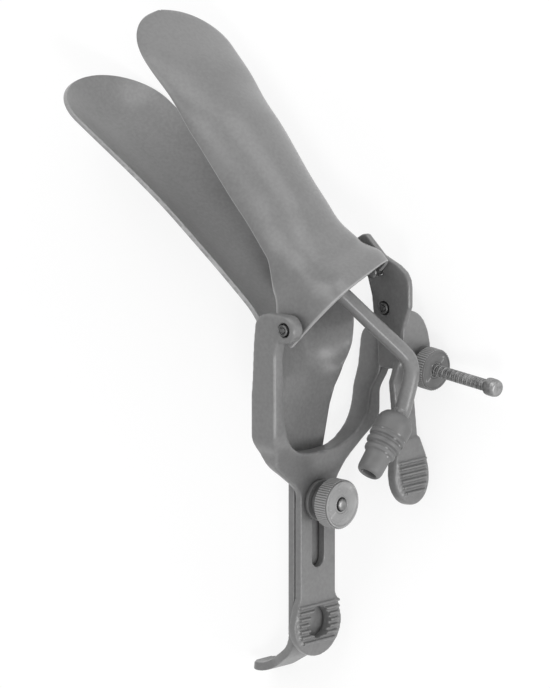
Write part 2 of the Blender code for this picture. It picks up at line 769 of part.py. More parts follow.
def ear_frame():
    """Where the rod passes through the lever's ear, and the ear's upward direction."""
    direction = rod_direction()
    upward = RIGHT.cross(direction).normalized()
    if upward.z < 0:
        upward = -upward
    return rod_anchor() + direction * EAR_AT, direction, upward


def lever():
    passing, direction, upward = ear_frame()
    knee = passing + upward * ((KNEE_Z - passing.z) / upward.z)
    knee.x = 0
    side = bevelled(lever_side_plate(knee, upward), LEVER_BEVEL)
    ear = bevelled(lever_ear(passing, upward), LEVER_BEVEL)
    strip = bevelled(lever_strip(knee), LEVER_BEVEL)
    paddle = bevelled(lever_paddle(knee), LEVER_BEVEL * 1.6)
    combine(side, [ear, strip, paddle], "UNION")
    cutters = [rod_between("hole", RIGHT * (LEVER_IN - 2 * MM), RIGHT * (LEVER_OUT + 2 * MM),
                           PIN_RADIUS + HOLE_CLEAR), ear_slot(passing, upward)]
    for along in LEVER_RIVETS:
        middle = upper_point(0, along, LEVER_RIVET_HEIGHT)
        cutters.append(rod_between("hole", middle + RIGHT * (LEVER_IN - 2 * MM), middle + RIGHT * (LEVER_OUT + 2 * MM),
                                   RIVET_RADIUS + HOLE_CLEAR))
    combine(side, lever_ridges(knee), "UNION")
    return combine(side, cutters, "DIFFERENCE")


def lever_rivet(name, along):
    """Joins the lever's strap to the flank of the upper blade."""
    middle = upper_point(0, along, LEVER_RIVET_HEIGHT)
    head = RIVET_RADIUS * 1.5
    start = middle + RIGHT * (THROAT_HALF - 2.4 * MM)
    inside = 1.0 * MM
    length = LEVER_OUT - start.x - 0.4 * MM
    profile = [(-0.5 * MM, 0), (-0.4 * MM, head * 0.6), (0, head), (inside * 0.3, head), (inside * 0.3, RIVET_RADIUS),
               (length, RIVET_RADIUS), (length, 0)]
    return turned(name, profile, start, RIGHT, 16)


def lever_side_plate(knee, upward):
    """Flat plate beside the blade: a strap along its flank, then down past the hinge."""
    strap_front = upper_point(0, 20 * MM, 8.8 * MM)
    strap_low = upper_point(0, 20 * MM, 4.0 * MM)
    outline = [
        (knee.y + 0.2 * MM, knee.z),
        (1.4 * MM, knee.z - 0.2 * MM),
        (2.2 * MM, knee.z + 0.6 * MM),
        (2.6 * MM, -10.0 * MM),
        (4.1 * MM, -2.6 * MM),
        (4.8 * MM, 3.0 * MM),
        (6.4 * MM, 8.0 * MM),
        (strap_low.y, strap_low.z),
        (strap_low.y - 0.4 * MM, strap_low.z + 2.0 * MM),
        (strap_front.y + 0.8 * MM, strap_front.z),
        (strap_front.y - MM, strap_front.z + 0.4 * MM),
        (0.6 * MM, 15.4 * MM),
        (LEVER_REAR_TOP + 4.4 * MM, 13.2 * MM),
        (LEVER_REAR_TOP + 1.6 * MM, 11.4 * MM),
        (LEVER_REAR_TOP + 0.3 * MM, 9.2 * MM),
        (LEVER_REAR_TOP, 7.0 * MM),
        (LEVER_REAR_TOP, 1.4 * MM),
        (LEVER_REAR_TOP + 1.2 * MM, -1.6 * MM),
        (knee.y - upward.z * 0.6 * MM, -9.0 * MM),
    ]
    return prism("lever", outline, Vector(), FORWARD, UP, LEVER_IN, LEVER_OUT)


def lever_ear(passing, upward):
    """Rounded tab bent outwards from the side plate, square to the threaded rod."""
    inner, outer = LEVER_IN + 0.2 * MM, LEVER_OUT + 0.6 * MM
    top, wide = 17.2 * MM, ROD_X + ROD_RADIUS + 2.4 * MM - outer
    outline = [(inner, -7.2 * MM), (inner, top)]
    outline += [(outer + x * wide, z * top) for x, z in arc((0, 0), 1, 90, 0, 12)]
    outline += [(outer + x * wide, z * 7.2 * MM) for x, z in arc((0, 0), 1, -12, -90, 8)]
    origin = Vector((0, passing.y, passing.z))
    return prism("ear", outline, origin, RIGHT, upward, -STRIP_THICK / 2, STRIP_THICK / 2)


def ear_slot(passing, upward):
    """Slot through the ear, long enough for the rod to tilt as the lever turns."""
    half = ROD_RADIUS + 0.5 * MM
    reach = 1.6 * MM
    outline = arc((ROD_X, reach), half, 0, 180, 10) + arc((ROD_X, -reach), half, 180, 360, 10)
    origin = Vector((0, passing.y, passing.z))
    return prism("slot", outline, origin, RIGHT, upward, -6 * MM, 6 * MM)


def strip_frame(knee):
    """The lower part of the lever leans back from the knee to the paddle."""
    foot = Vector((0, -8.9 * MM, PADDLE_Z))
    upward = (knee - foot).normalized()
    return foot, upward


def lever_strip(knee):
    """Shank of the lever, facing backwards."""
    foot, upward = strip_frame(knee)
    middle = (LEVER_IN + LEVER_OUT) / 2
    top = (knee - foot).length + 3 * MM
    shoulder = top - 6 * MM
    outline = [(LEVER_OUT - 0.2 * MM, top), (middle + SHANK_HALF, shoulder), (middle + SHANK_HALF, 0),
               (middle - SHANK_HALF, 0), (middle - SHANK_HALF, shoulder), (LEVER_IN + 0.1 * MM, top)]
    return prism("strip", outline, foot, RIGHT, upward, -STRIP_THICK / 2, STRIP_THICK / 2)


def lever_paddle(knee):
    """Thumb paddle at the end of the lever: thicker than its shank, and rounded."""
    foot, upward = strip_frame(knee)
    middle = (LEVER_IN + LEVER_OUT) / 2
    widen = PADDLE_TOP_Z - PADDLE_Z
    low = LEVER_BOTTOM - PADDLE_Z
    right = [(middle + SHANK_HALF + 0.3 * MM, widen), (middle + PADDLE_HALF * 0.9, widen * 0.5),
             (middle + PADDLE_HALF, widen * 0.1)]
    for t in range(10, 90, 10):
        turn = math.radians(t)
        right.append((middle + PADDLE_HALF * math.cos(turn), low * math.sin(turn)))
    left = [(2 * middle - x, z) for x, z in reversed(right)]
    outline = [*right, (middle, low), *left]
    spread = (PADDLE_THICK - STRIP_THICK) / 2
    return prism("paddle", outline, foot, RIGHT, upward, -STRIP_THICK / 2 - spread, STRIP_THICK / 2 + spread)


def lever_ridges(knee):
    foot, upward = strip_frame(knee)
    middle = (LEVER_IN + LEVER_OUT) / 2
    face = upward.cross(RIGHT)
    ridges = []
    low = LEVER_BOTTOM - PADDLE_Z
    for k in range(PADDLE_RIDGES):
        z = (2.4 - k) * RIDGE_PITCH
        half = PADDLE_HALF * math.sqrt(1 - (min(z, 0) / low) ** 2) - 1.6 * MM
        width = RIDGE_PITCH * 0.3
        outline = [(0, -width * 1.3), (RIDGE_HEIGHT + 0.4 * MM, -width * 0.6),
                   (RIDGE_HEIGHT + 0.4 * MM, width * 0.6), (0, width * 1.3)]
        rear = paddle_rear(face)
        origin = foot + RIGHT * middle + rear * (PADDLE_THICK / 2 - 0.3 * MM) + upward * z
        ridges.append(prism("ridge", outline, origin, rear, upward, -half, half))
    return ridges


def paddle_rear(face):
    return face if face.y < 0 else -face


# Threaded rod


def threaded_rod():
    """Rod with a flat eye on the arm; its thread is fine and is left plain here."""
    anchor, direction = rod_anchor(), rod_direction()
    upward = ear_frame()[2]
    eye = turned("threaded_rod", [(-EYE_THICK / 2, 0), (-EYE_THICK / 2, EYE_RADIUS - 0.4 * MM),
                                  (0.4 * MM - EYE_THICK / 2, EYE_RADIUS), (EYE_THICK / 2 - 0.4 * MM, EYE_RADIUS),
                                  (EYE_THICK / 2, EYE_RADIUS - 0.4 * MM), (EYE_THICK / 2, 0)],
                 anchor, RIGHT, 32)
    shaft = rod_between("shaft", anchor + direction * (EYE_RADIUS - MM), anchor + direction * ROD_LENGTH,
                        ROD_RADIUS, 24)
    combine(eye, [shaft], "UNION")
    hole = rod_between("hole", anchor - RIGHT * 4 * MM, anchor + RIGHT * 4 * MM, PIN_RADIUS + 0.15 * MM)
    return combine(eye, [hole], "DIFFERENCE")


def anchor_screw():
    start = Vector((ARM_OUT - ANCHOR_DEPTH, ROD_ANCHOR_Y, ROD_ANCHOR_Z))
    length = ROD_X + EYE_THICK / 2 + CLEAR - start.x
    profile = [(0, 0), (0, PIN_RADIUS), (length, PIN_RADIUS), (length, PIN_HEAD_RADIUS),
               (length + PIN_HEAD * 0.7, PIN_HEAD_RADIUS), (length + PIN_HEAD, PIN_HEAD_RADIUS * 0.8),
               (length + PIN_HEAD, 0)]
    return turned("anchor_screw", profile, start, RIGHT, 24)


def rod_knob():
    """Small round knob on the end of the rod, so that the nut can't run off."""
    start = rod_anchor() + rod_direction() * (ROD_LENGTH + 0.05 * MM)
    r = KNOB_RADIUS
    profile = [(0, 0), (0, r * 0.72), (r * 0.25, r * 0.9), (r * 0.7, r), (r * 1.3, r * 0.96), (r * 1.75, r * 0.7),
               (r * 1.85, r * 0.5), (r * 1.85, 0)]
    return turned("rod_knob", profile, start, rod_direction(), 24)


def rod_nut():
    passing, direction, _ = ear_frame()
    front = STRIP_THICK / 2 + NUT_GAP
    outer = passing + direction * (front + ROD_COLLAR_LENGTH + ROD_NUT_THICK)
    return knurled("rod_nut", outer, -direction, ROD_RADIUS + 0.15 * MM, ROD_NUT_RADIUS,
                   ROD_NUT_THICK, ROD_COLLAR_RADIUS, ROD_COLLAR_LENGTH, 24, 0.4 * MM)


# Smoke tube


def under_ridge(along):
    """A place on the tube's line, hugging the inside of the upper blade."""
    return upper_point(0, along, upper_ridge(along) - SHEET / 2 - CLEAR * 2 - TUBE_RADIUS)


def connector_line():
    """Where the hose connector starts, and its direction."""
    start = Vector((7.7 * MM, -15.4 * MM, -27.6 * MM))
    end = Vector((-5.6 * MM, -15.6 * MM, -42.3 * MM))
    return start, (end - start).normalized()


def tube_path():
    start, direction = connector_line()
    corner = Vector((14.1 * MM, -15.6 * MM, -13.5 * MM))
    leave = Vector((0, -1.4 * MM, 6.2 * MM))
    outward = (corner - leave).normalized()
    downward = (start - corner).normalized()
    points = [under_ridge(TUBE_FRONT - 6.5 * MM * k) for k in range(9)]
    points += [
        upper_point(0, 12 * MM, 8.0 * MM),
        leave,
        leave + outward * 12 * MM,
        corner - outward * 4.2 * MM,
        corner + (downward - outward) * 1.3 * MM,
        corner + downward * 4.2 * MM,
        start - direction * 2.5 * MM,
        start - direction * 0.2 * MM,
        start + direction * 2.2 * MM,
    ]
    return smooth_path(points, 4)


def ring_sections(path, radius, sides):
    """Rings of points square to the path, carried along it without twisting."""
    rings = []
    side = None
    for i, point in enumerate(path):
        along = (path[min(i + 1, len(path) - 1)] - path[max(i - 1, 0)]).normalized()
        side = along.orthogonal() if side is None else side - along * side.dot(along)
        side.normalize()
        other = along.cross(side)
        turns = [2 * math.pi * k / sides for k in range(sides)]
        rings.append([point + (side * math.cos(t) + other * math.sin(t)) * radius for t in turns])
    return rings


def smoke_tube():
    """A bent pipe, open at both ends."""
    path = tube_path()
    sides = 14
    bm = bmesh.new()
    walls = []
    for radius in (TUBE_RADIUS, TUBE_BORE):
        rings = [[bm.verts.new(p) for p in ring] for ring in ring_sections(path, radius, sides)]
        for low, high in zip(rings, rings[1:]):
            for k in range(sides):
                m = (k + 1) % sides
                bm.faces.new((low[k], low[m], high[m], high[k]))
        walls.append(rings)
    for end in (0, -1):
        outer, inner = walls[0][end], walls[1][end]
        for k in range(sides):
            m = (k + 1) % sides
            bm.faces.new((outer[k], outer[m], inner[m], inner[k]))
    return mesh_object("smoke_tube", bm)


def hose_connector():
    """Stepped and ribbed hose tail round the end of the tube."""
    start, direction = connector_line()
    bore = TUBE_RADIUS + CLEAR
    r = CONNECTOR_RADIUS
    steps = [
        (0.0, bore), (0.0, r * 0.62), (1.6 * MM, r * 0.9), (3.0 * MM, r), (8.4 * MM, r * 0.98),
        (8.8 * MM, r * 0.88), (9.5 * MM, r * 0.88), (9.8 * MM, r * 0.96), (10.6 * MM, r * 0.94),
        (11.0 * MM, r * 0.8), (11.8 * MM, r * 0.8), (12.1 * MM, r * 0.86), (13.0 * MM, r * 0.84),
        (13.4 * MM, r * 0.7), (CONNECTOR_LENGTH - 0.6 * MM, r * 0.68), (CONNECTOR_LENGTH, r * 0.6),
        (CONNECTOR_LENGTH, r * 0.42), (3.0 * MM, r * 0.42), (3.0 * MM, bore),
    ]
    return turned("hose_connector", steps, start, direction, 32)


def tube_saddle(name, along):
    """Strap brazed to the blade that holds the tube against it."""
    inner = TUBE_RADIUS + 0.15 * MM
    outer = inner + 0.8 * MM
    rise = TUBE_RADIUS + CLEAR
    outline = [(outer, rise * 0.6), *arc((0, 0), outer, 0, -180, 12), (-outer, rise * 0.6),
               (-inner, rise * 0.6), *arc((0, 0), inner, 180, 360, 12), (inner, rise * 0.6)]
    middle = under_ridge(along)
    ahead = (under_ridge(along + MM) - under_ridge(along - MM)).normalized()
    upward = ahead.cross(-RIGHT).normalized()
    if upward.z < 0:
        upward = -upward
    half = 2.5 * MM
    return prism(name, outline, middle, RIGHT, upward, -half, half)


# The whole instrument


def lay_down(objects):
    """The turn and shift that lay the instrument on its right side, at rest on the
    three points of its hull that lie under its centre of mass."""
    bm = bmesh.new()
    weight, moment = 0.0, Vector()
    for made in objects:
        points = [v.co.copy() for v in made.data.vertices]
        for point in points:
            bm.verts.new(point)
        made.data.calc_loop_triangles()
        for tri in made.data.loop_triangles:
            a, b, c = (points[i] for i in tri.vertices)
            volume = a.dot(b.cross(c)) / 6
            weight += volume
            moment += (a + b + c) / 4 * volume
    centre = moment / weight
    hull = bmesh.ops.convex_hull(bm, input=bm.verts)
    spare = {v for v in hull["geom_interior"] if isinstance(v, bmesh.types.BMVert)}
    bmesh.ops.delete(bm, geom=list(spare), context="VERTS")
    bm.normal_update()
    best, floor = None, None
    for face in bm.faces:
        outward = face.normal if face.normal.dot(face.verts[0].co - centre) > 0 else -face.normal
        foot = centre + outward * (face.verts[0].co - centre).dot(outward)
        corners = [v.co for v in face.verts]
        turns = [(q - p).cross(foot - p).dot(outward) for p, q in zip(corners, corners[1:] + corners[:1])]
        inside = all(t >= 0 for t in turns) or all(t <= 0 for t in turns)
        if inside and (best is None or outward.x > best):
            best, floor = outward.x, outward.copy()
    bm.free()
    up = -floor
    ahead = UP - up * UP.dot(up)
    ahead.normalize()
    side = up.cross(ahead)
    turn = Matrix((ahead, side, up)).to_4x4()
    placed = [turn @ v.co for made in objects for v in made.data.vertices]
    low = Vector([min(p[i] for p in placed) for i in range(3)])
    high = Vector([max(p[i] for p in placed) for i in range(3)])
    middle = (low + high) / 2
    return Matrix.Translation((-middle.x, -middle.y, -low.z)) @ turn


def group(name, parent, place):
    """An empty on a joint's axis that carries the pieces of one moving body."""
    made = bpy.data.objects.new(name, None)
    bpy.context.scene.collection.objects.link(made)
    made.parent = parent
    made.location = place
    made.empty_display_size = 10 * MM
    return made


def carry(made, holder, place, finish):
    made.data.transform(Matrix.Translation(-place))
    made.parent = holder
    made.data.materials.clear()
    made.data.materials.append(finish)
    made.data.shade_smooth()
    made.data.set_sharp_from_angle(angle=math.radians(35))


def build():
    for old in list(bpy.data.objects):
        bpy.data.objects.remove(old)
    coating = material("grey_insulating_coating", (0.22, 0.22, 0.22), 0.5, 0.0)
    steel = material("bright_steel", (0.45, 0.45, 0.45), 0.32, 1.0)
    nylon = material("grey_nylon", (0.25, 0.25, 0.25), 0.45, 0.0)

    fixed = [(lower_blade(), coating), (lower_handle(), coating), (blade_rivet("blade_rivet_left", -1), steel),
             (blade_rivet("blade_rivet_right", 1), steel), (clamp_stud(), steel), (slide_guide(), steel),
             (clamp_washer(), nylon)]
    sliding = [(yoke(), coating), (pivot_screw("pivot_screw_left", -1), steel),
               (pivot_screw("pivot_screw_right", 1), steel), (anchor_screw(), steel)]
    hinged = [(upper_blade(), coating), (lever_rivet("lever_rivet_rear", LEVER_RIVETS[0]), steel),
              (lever_rivet("lever_rivet_front", LEVER_RIVETS[1]), steel), (lever(), coating), (smoke_tube(), coating),
              (hose_connector(), nylon), (tube_saddle("tube_saddle_front", SADDLE_FRONT), coating),
              (tube_saddle("tube_saddle_rear", SADDLE_REAR), coating)]
    swivelling = [(threaded_rod(), steel), (rod_knob(), steel)]
    travelling = [(rod_nut(), nylon)]
    clamping = [(clamp_nut(), nylon)]

    origin = Vector()
    anchor = rod_anchor()
    stud = Vector((0, NUT_REAR, STUD_Z))
    everything = [made for pieces in (fixed, sliding, hinged, swivelling, travelling, clamping)
                  for made, _ in pieces]
    whole = group("instrument", None, origin)
    whole.matrix_world = lay_down(everything)
    slide = group("yoke_slide", whole, origin)
    hinge = group("blade_hinge", slide, origin)
    swivel = group("rod_swivel", slide, anchor)
    travel = group("rod_nut_travel", swivel, origin)
    clamp = group("clamp_nut_turn", whole, stud)
    holders = [(fixed, whole, origin), (sliding, slide, origin), (hinged, hinge, origin),
               (swivelling, swivel, anchor), (travelling, travel, anchor), (clamping, clamp, stud)]
    for pieces, holder, place in holders:
        for made, finish in pieces:
            carry(made, holder, place, finish)


build()
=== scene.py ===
import json
import math

import bmesh
import bpy
from mathutils import Matrix, Vector


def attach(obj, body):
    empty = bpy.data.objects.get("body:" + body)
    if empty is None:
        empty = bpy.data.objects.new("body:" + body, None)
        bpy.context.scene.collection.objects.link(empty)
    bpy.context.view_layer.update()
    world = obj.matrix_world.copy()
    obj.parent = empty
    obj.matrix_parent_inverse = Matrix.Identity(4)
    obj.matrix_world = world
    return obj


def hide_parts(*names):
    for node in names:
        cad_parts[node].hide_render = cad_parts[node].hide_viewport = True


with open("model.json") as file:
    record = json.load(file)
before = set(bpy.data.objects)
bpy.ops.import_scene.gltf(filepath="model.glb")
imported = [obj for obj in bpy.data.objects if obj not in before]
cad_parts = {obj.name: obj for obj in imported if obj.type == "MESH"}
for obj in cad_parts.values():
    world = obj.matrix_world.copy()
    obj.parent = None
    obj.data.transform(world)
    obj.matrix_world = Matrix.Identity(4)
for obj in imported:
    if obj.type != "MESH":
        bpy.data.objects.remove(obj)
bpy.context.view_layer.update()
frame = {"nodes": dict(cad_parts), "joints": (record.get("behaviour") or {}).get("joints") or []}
mm = 0.001
joints = {joint["name"]: joint for joint in frame["joints"]}

# The instrument's own axes: x to its right, y along the blades, z up, hinge at zero
hingeAt = Vector(joints["blade_hinge"]["pos_m"])
toRight = Vector(joints["blade_hinge"]["axis"])
toFront = Vector(joints["clamp_nut_turn"]["axis"])
toTop = Vector(joints["yoke_slide"]["axis"])
placed = Matrix.Translation(hingeAt) @ Matrix((toRight, toFront, toTop)).transposed().to_4x4()
unplaced = placed.inverted()
clampAt = unplaced @ Vector(joints["clamp_nut_turn"]["pos_m"])
rodAt = unplaced @ Vector(joints["rod_swivel"]["pos_m"])
rodAlong = unplaced.to_3x3() @ Vector(joints["rod_nut_travel"]["axis"])

right = Vector((1, 0, 0))
front = Vector((0, 1, 0))
top = Vector((0, 0, 1))


# Node trees are written as expressions on wires

def plug(tree, place, value):
    if isinstance(value, Wire):
        tree.links.new(value.socket, place)
    elif value is not None:
        place.default_value = value


class Wire:
    # One output socket, with arithmetic that adds Math nodes
    def __init__(self, tree, socket):
        self.tree = tree
        self.socket = socket

    def maths(self, operation, *others):
        made = self.tree.nodes.new("ShaderNodeMath")
        made.operation = operation
        for place, value in zip(made.inputs, (self, *others)):
            plug(self.tree, place, value)
        return Wire(self.tree, made.outputs[0])

    def flipped(self, operation, other):
        made = self.tree.nodes.new("ShaderNodeMath")
        made.operation = operation
        plug(self.tree, made.inputs[0], other)
        plug(self.tree, made.inputs[1], self)
        return Wire(self.tree, made.outputs[0])

    def __add__(self, other):
        return self.maths("ADD", other)

    def __sub__(self, other):
        return self.maths("SUBTRACT", other)

    def __mul__(self, other):
        return self.maths("MULTIPLY", other)

    def __truediv__(self, other):
        return self.maths("DIVIDE", other)

    def __pow__(self, other):
        return self.maths("POWER", other)

    def __neg__(self):
        return self.maths("MULTIPLY", -1)

    def __rsub__(self, other):
        return self.flipped("SUBTRACT", other)

    def __rtruediv__(self, other):
        return self.flipped("DIVIDE", other)

    __radd__ = __add__
    __rmul__ = __mul__


class Bench:
    # Adds nodes to one tree: a type, its settings, then its inputs by name or number
    def __init__(self, tree):
        self.tree = tree

    def node(self, kind, settings=None, inputs=None, out=0):
        made = self.tree.nodes.new(kind)
        for name, value in (settings or {}).items():
            setattr(made, name, value)
        for name, value in (inputs or {}).items():
            plug(self.tree, made.inputs[name], value)
        return Wire(self.tree, made.outputs[out])

    def ramp(self, value, low, high, fromLow, fromHigh, kind="SMOOTHSTEP"):
        return self.node("ShaderNodeMapRange", {"interpolation_type": kind}, {
            "Value": value, "From Min": low, "From Max": high, "To Min": fromLow, "To Max": fromHigh})

    def blend(self, first, second, share):
        return self.node("ShaderNodeMix", {"data_type": "RGBA"}, {0: share, 6: first, 7: second}, out=2)

    def stations(self, value, pairs, kind="SMOOTHSTEP"):
        # A value read from (place, value) stations, smooth from each to the next
        total = pairs[0][1]
        for (low, before), (high, after) in zip(pairs, pairs[1:]):
            total = self.ramp(value, low, high, 0, after - before, kind) + total
        return total


# Meshes

def newObject(name, bm):
    mesh = bpy.data.meshes.new(name)
    bm.to_mesh(mesh)
    bm.free()
    made = bpy.data.objects.new(name, mesh)
    bpy.context.scene.collection.objects.link(made)
    return made


def flatten(made):
    # Puts what the modifiers make into the mesh, and takes them off
    evaluated = made.evaluated_get(bpy.context.evaluated_depsgraph_get())
    mesh = bpy.data.meshes.new_from_object(evaluated)
    made.modifiers.clear()
    made.data = mesh
    return made


def modified(made, kind, **settings):
    step = made.modifiers.new(kind.lower(), kind)
    for name, value in settings.items():
        setattr(step, name, value)


def carved(made, tools):
    for tool in tools:
        modified(made, "BOOLEAN", operation="DIFFERENCE", object=tool, solver="EXACT")
        flatten(made)
        bpy.data.objects.remove(tool)
    return made


def smoothed(made, degrees=35):
    made.data.shade_smooth()
    made.data.set_sharp_from_angle(angle=math.radians(degrees))
    return made


def lathe(name, profile, origin, axis, sides=64):
    # Turns a profile of (distance along the axis, radius) points round the axis
    side = axis.orthogonal().normalized()
    other = axis.cross(side).normalized()
    bm = bmesh.new()
    rings = []
    for along, radius in profile:
        middle = origin + axis * along
        if radius == 0:
            rings.append([bm.verts.new(middle)] * sides)
            continue
        turns = [2 * math.pi * k / sides for k in range(sides)]
        rings.append([bm.verts.new(middle + (side * math.cos(t) + other * math.sin(t)) * radius)
                      for t in turns])
    pairs = list(zip(rings, rings[1:]))
    if profile[0][1] > 0 and profile[-1][1] > 0:
        pairs.append((rings[-1], rings[0]))
    for low, high in pairs:
        for k in range(sides):
            m = (k + 1) % sides
            corners = [low[k], low[m], high[m], high[k]]
            face = [v for i, v in enumerate(corners) if v not in corners[:i]]
            if len(face) > 2:
                bm.faces.new(face)
    bmesh.ops.recalc_face_normals(bm, faces=bm.faces)
    return newObject(name, bm)


def eased(places, at):
    # A value read from (place, value) stations, as Bench.stations does in a tree
    for (low, before), (high, after) in zip(places, places[1:]):
        if at <= high:
            t = max((at - low) / (high - low), 0)
            return before + (after - before) * t * t * (3 - 2 * t)
    return places[-1][1]


def softProfile(points, radius, steps=3):
    # Rounds the corners of a profile with short arcs of about this radius
    soft = [points[0]]
    for before, here, after in zip(points, points[1:], points[2:]):
        a, b, c = Vector(before), Vector(here), Vector(after)
        reach = min(radius, (a - b).length * 0.45, (c - b).length * 0.45)
        if reach < 0.02 * mm:
            soft.append(here)
            continue
        start = b + (a - b).normalized() * reach
        end = b + (c - b).normalized() * reach
        for k in range(steps + 1):
            t = k / steps
            soft.append(tuple(start * (1 - t) ** 2 + b * 2 * t * (1 - t) + end * t * t))
    return [*soft, points[-1]]


def cadCopy(name, node):
    # A merged copy of a CAD node, in the instrument's own axes
    mesh = frame["nodes"][node].data.copy()
    mesh.materials.clear()
    bm = bmesh.new()
    bm.from_mesh(mesh)
    bmesh.ops.remove_doubles(bm, verts=bm.verts, dist=0.001 * mm)
    bmesh.ops.transform(bm, matrix=unplaced, verts=bm.verts)
    return newObject(name, bm)


def forged(name, node, voxel, rounds):
    # The CAD shape with the soft edges of a forging under its dipped coating
    made = cadCopy(name, node)
    modified(made, "REMESH", mode="VOXEL", voxel_size=voxel, use_smooth_shade=True)
    modified(made, "SMOOTH", factor=0.5, iterations=rounds)
    return flatten(made)


def fit(made, node, body, finish, second=None):
    # Moves the piece from the instrument's axes to its place, in its CAD node's stead;
    # a second finish goes on the faces marked 1
    made.data.transform(placed)
    marks = [face.material_index for face in made.data.polygons]
    made.data.materials.clear()
    made.data.materials.append(finish)
    if second:
        made.data.materials.append(second)
        made.data.polygons.foreach_set("material_index", marks)
    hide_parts(node)
    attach(made, body)


# Finishes

coatingLook = {
    "dark": (0.112, 0.112, 0.112, 1),
    "light": (0.136, 0.136, 0.136, 1),
    # Sharp convex edges turn lighter: partly worn coating, partly a painted highlight line
    "edge": (0.36, 0.36, 0.36, 1),
    # Painted shade: a dark colour laid into hollows and creases where shade falls
    "paintedCreaseShade": (0.05, 0.05, 0.05, 1),
    "wearAndHighlight": 0.6,
    "mottleSize": 70.0,
    "peelSize": 1500.0,
    "peelDepth": 0.00003,
    "roughness": (0.34, 0.44),
    "coat": 0.45,
    "coatRoughness": 0.24,
}
# The forged pieces keep little of the lighter edges, the wear and painted highlight
forgedLook = {**coatingLook, "wearAndHighlight": 0.08}
# Painted light: a lighter copy of the same coating, for the lower blade that the upper blade shades
paintedLightLook = {**coatingLook, "dark": (0.150, 0.150, 0.150, 1), "light": (0.182, 0.182, 0.182, 1)}


def newMaterial(name):
    made = bpy.data.materials.new(name)
    made.use_nodes = True
    tree = made.node_tree
    shader = tree.nodes["Principled BSDF"]
    return made, Bench(tree), shader


def setShader(bench, shader, values):
    for name, value in values.items():
        plug(bench.tree, shader.inputs[name], value)


def makeCoating(name, look):
    made, bench, shader = newMaterial(name)
    place = bench.node("ShaderNodeTexCoord", out="Object")
    mottle = bench.node("ShaderNodeTexNoise", None, {
        "Vector": place, "Scale": look["mottleSize"], "Detail": 6.0, "Roughness": 0.6})
    speck = bench.node("ShaderNodeTexNoise", None, {
        "Vector": place, "Scale": look["mottleSize"] * 14, "Detail": 3.0})
    body = bench.blend(look["dark"], look["light"], bench.ramp(mottle * 0.5 + speck * 0.5, 0.36, 0.64, 0, 1))
    bent = bench.node("ShaderNodeNewGeometry", out="Pointiness")
    # Lighter on sharp convex edges, by pointiness: partly worn coating, partly painted highlight
    wearAndHighlight = bench.ramp(bent, 0.53, 0.59, 0, look["wearAndHighlight"]) * bench.ramp(bent, 0.63, 0.67, 1, 0)
    # Painted shade: darker in hollows and creases, by low pointiness
    paintedCreaseShadeShare = bench.ramp(bent, 0.38, 0.47, 0.7, 0)
    colour = bench.blend(bench.blend(body, look["edge"], wearAndHighlight), look["paintedCreaseShade"], paintedCreaseShadeShare)
    peel = bench.node("ShaderNodeTexNoise", None, {
        "Vector": place, "Scale": look["peelSize"], "Detail": 2.0})
    bump = bench.node("ShaderNodeBump", None, {
        "Strength": 0.35, "Distance": look["peelDepth"], "Height": peel})
    low, high = look["roughness"]
    setShader(bench, shader, {
        "Base Color": colour, "Roughness": bench.ramp(mottle, 0.3, 0.7, low, high),
        "Normal": bump, "Metallic": 0.0, "IOR": 1.5,
        "Coat Weight": look["coat"], "Coat Roughness": look["coatRoughness"]})
    return made


steelLook = {
    "dark": (0.17, 0.17, 0.17, 1),
    "light": (0.32, 0.32, 0.32, 1),
    "grainSize": 700.0,
    "grainDepth": 0.00002,
    "stainSize": 160.0,
    "roughness": (0.36, 0.5),
}
pinLook = {
    **steelLook,
    "dark": (0.10, 0.10, 0.10, 1),
    "light": (0.18, 0.18, 0.18, 1),
    "grainSize": 900.0,
    "roughness": (0.42, 0.55),
}


def makeSteel(name, look):
    made, bench, shader = newMaterial(name)
    place = bench.node("ShaderNodeTexCoord", out="Object")
    grain = bench.node("ShaderNodeTexNoise", None, {
        "Vector": place, "Scale": look["grainSize"], "Detail": 8.0, "Roughness": 0.7})
    stain = bench.node("ShaderNodeTexNoise", None, {"Vector": place, "Scale": look["stainSize"], "Detail": 3.0})
    colour = bench.blend(look["dark"], look["light"], bench.ramp(grain * 0.6 + stain * 0.4, 0.35, 0.65, 0, 1))
    bump = bench.node("ShaderNodeBump", None, {"Strength": 0.2, "Distance": look["grainDepth"], "Height": grain})
    low, high = look["roughness"]
    setShader(bench, shader, {
        "Base Color": colour, "Roughness": bench.ramp(stain, 0.3, 0.7, low, high),
        "Normal": bump, "Metallic": 1.0})
    return made


nylonLook = {
    "dark": (0.088, 0.088, 0.088, 1),
    "light": (0.118, 0.118, 0.118, 1),
    # Sharp convex edges turn lighter: partly worn nylon, partly a painted highlight line
    "edge": (0.36, 0.36, 0.36, 1),
    "wearAndHighlight": 0.6,
    "cloudSize": 130.0,
    "pitSize": 1100.0,
    "pitDepth": 0.00003,
    "roughness": (0.42, 0.55),
}
# Painted light: a lighter copy of the nylon for the clamp nut's outer face, which catches the light; its lower
# roughness is a real finish
paintedLightFaceLook = {
    **nylonLook,
    "dark": (0.21, 0.21, 0.21, 1),
    "light": (0.27, 0.27, 0.27, 1),
    "roughness": (0.26, 0.36),
}


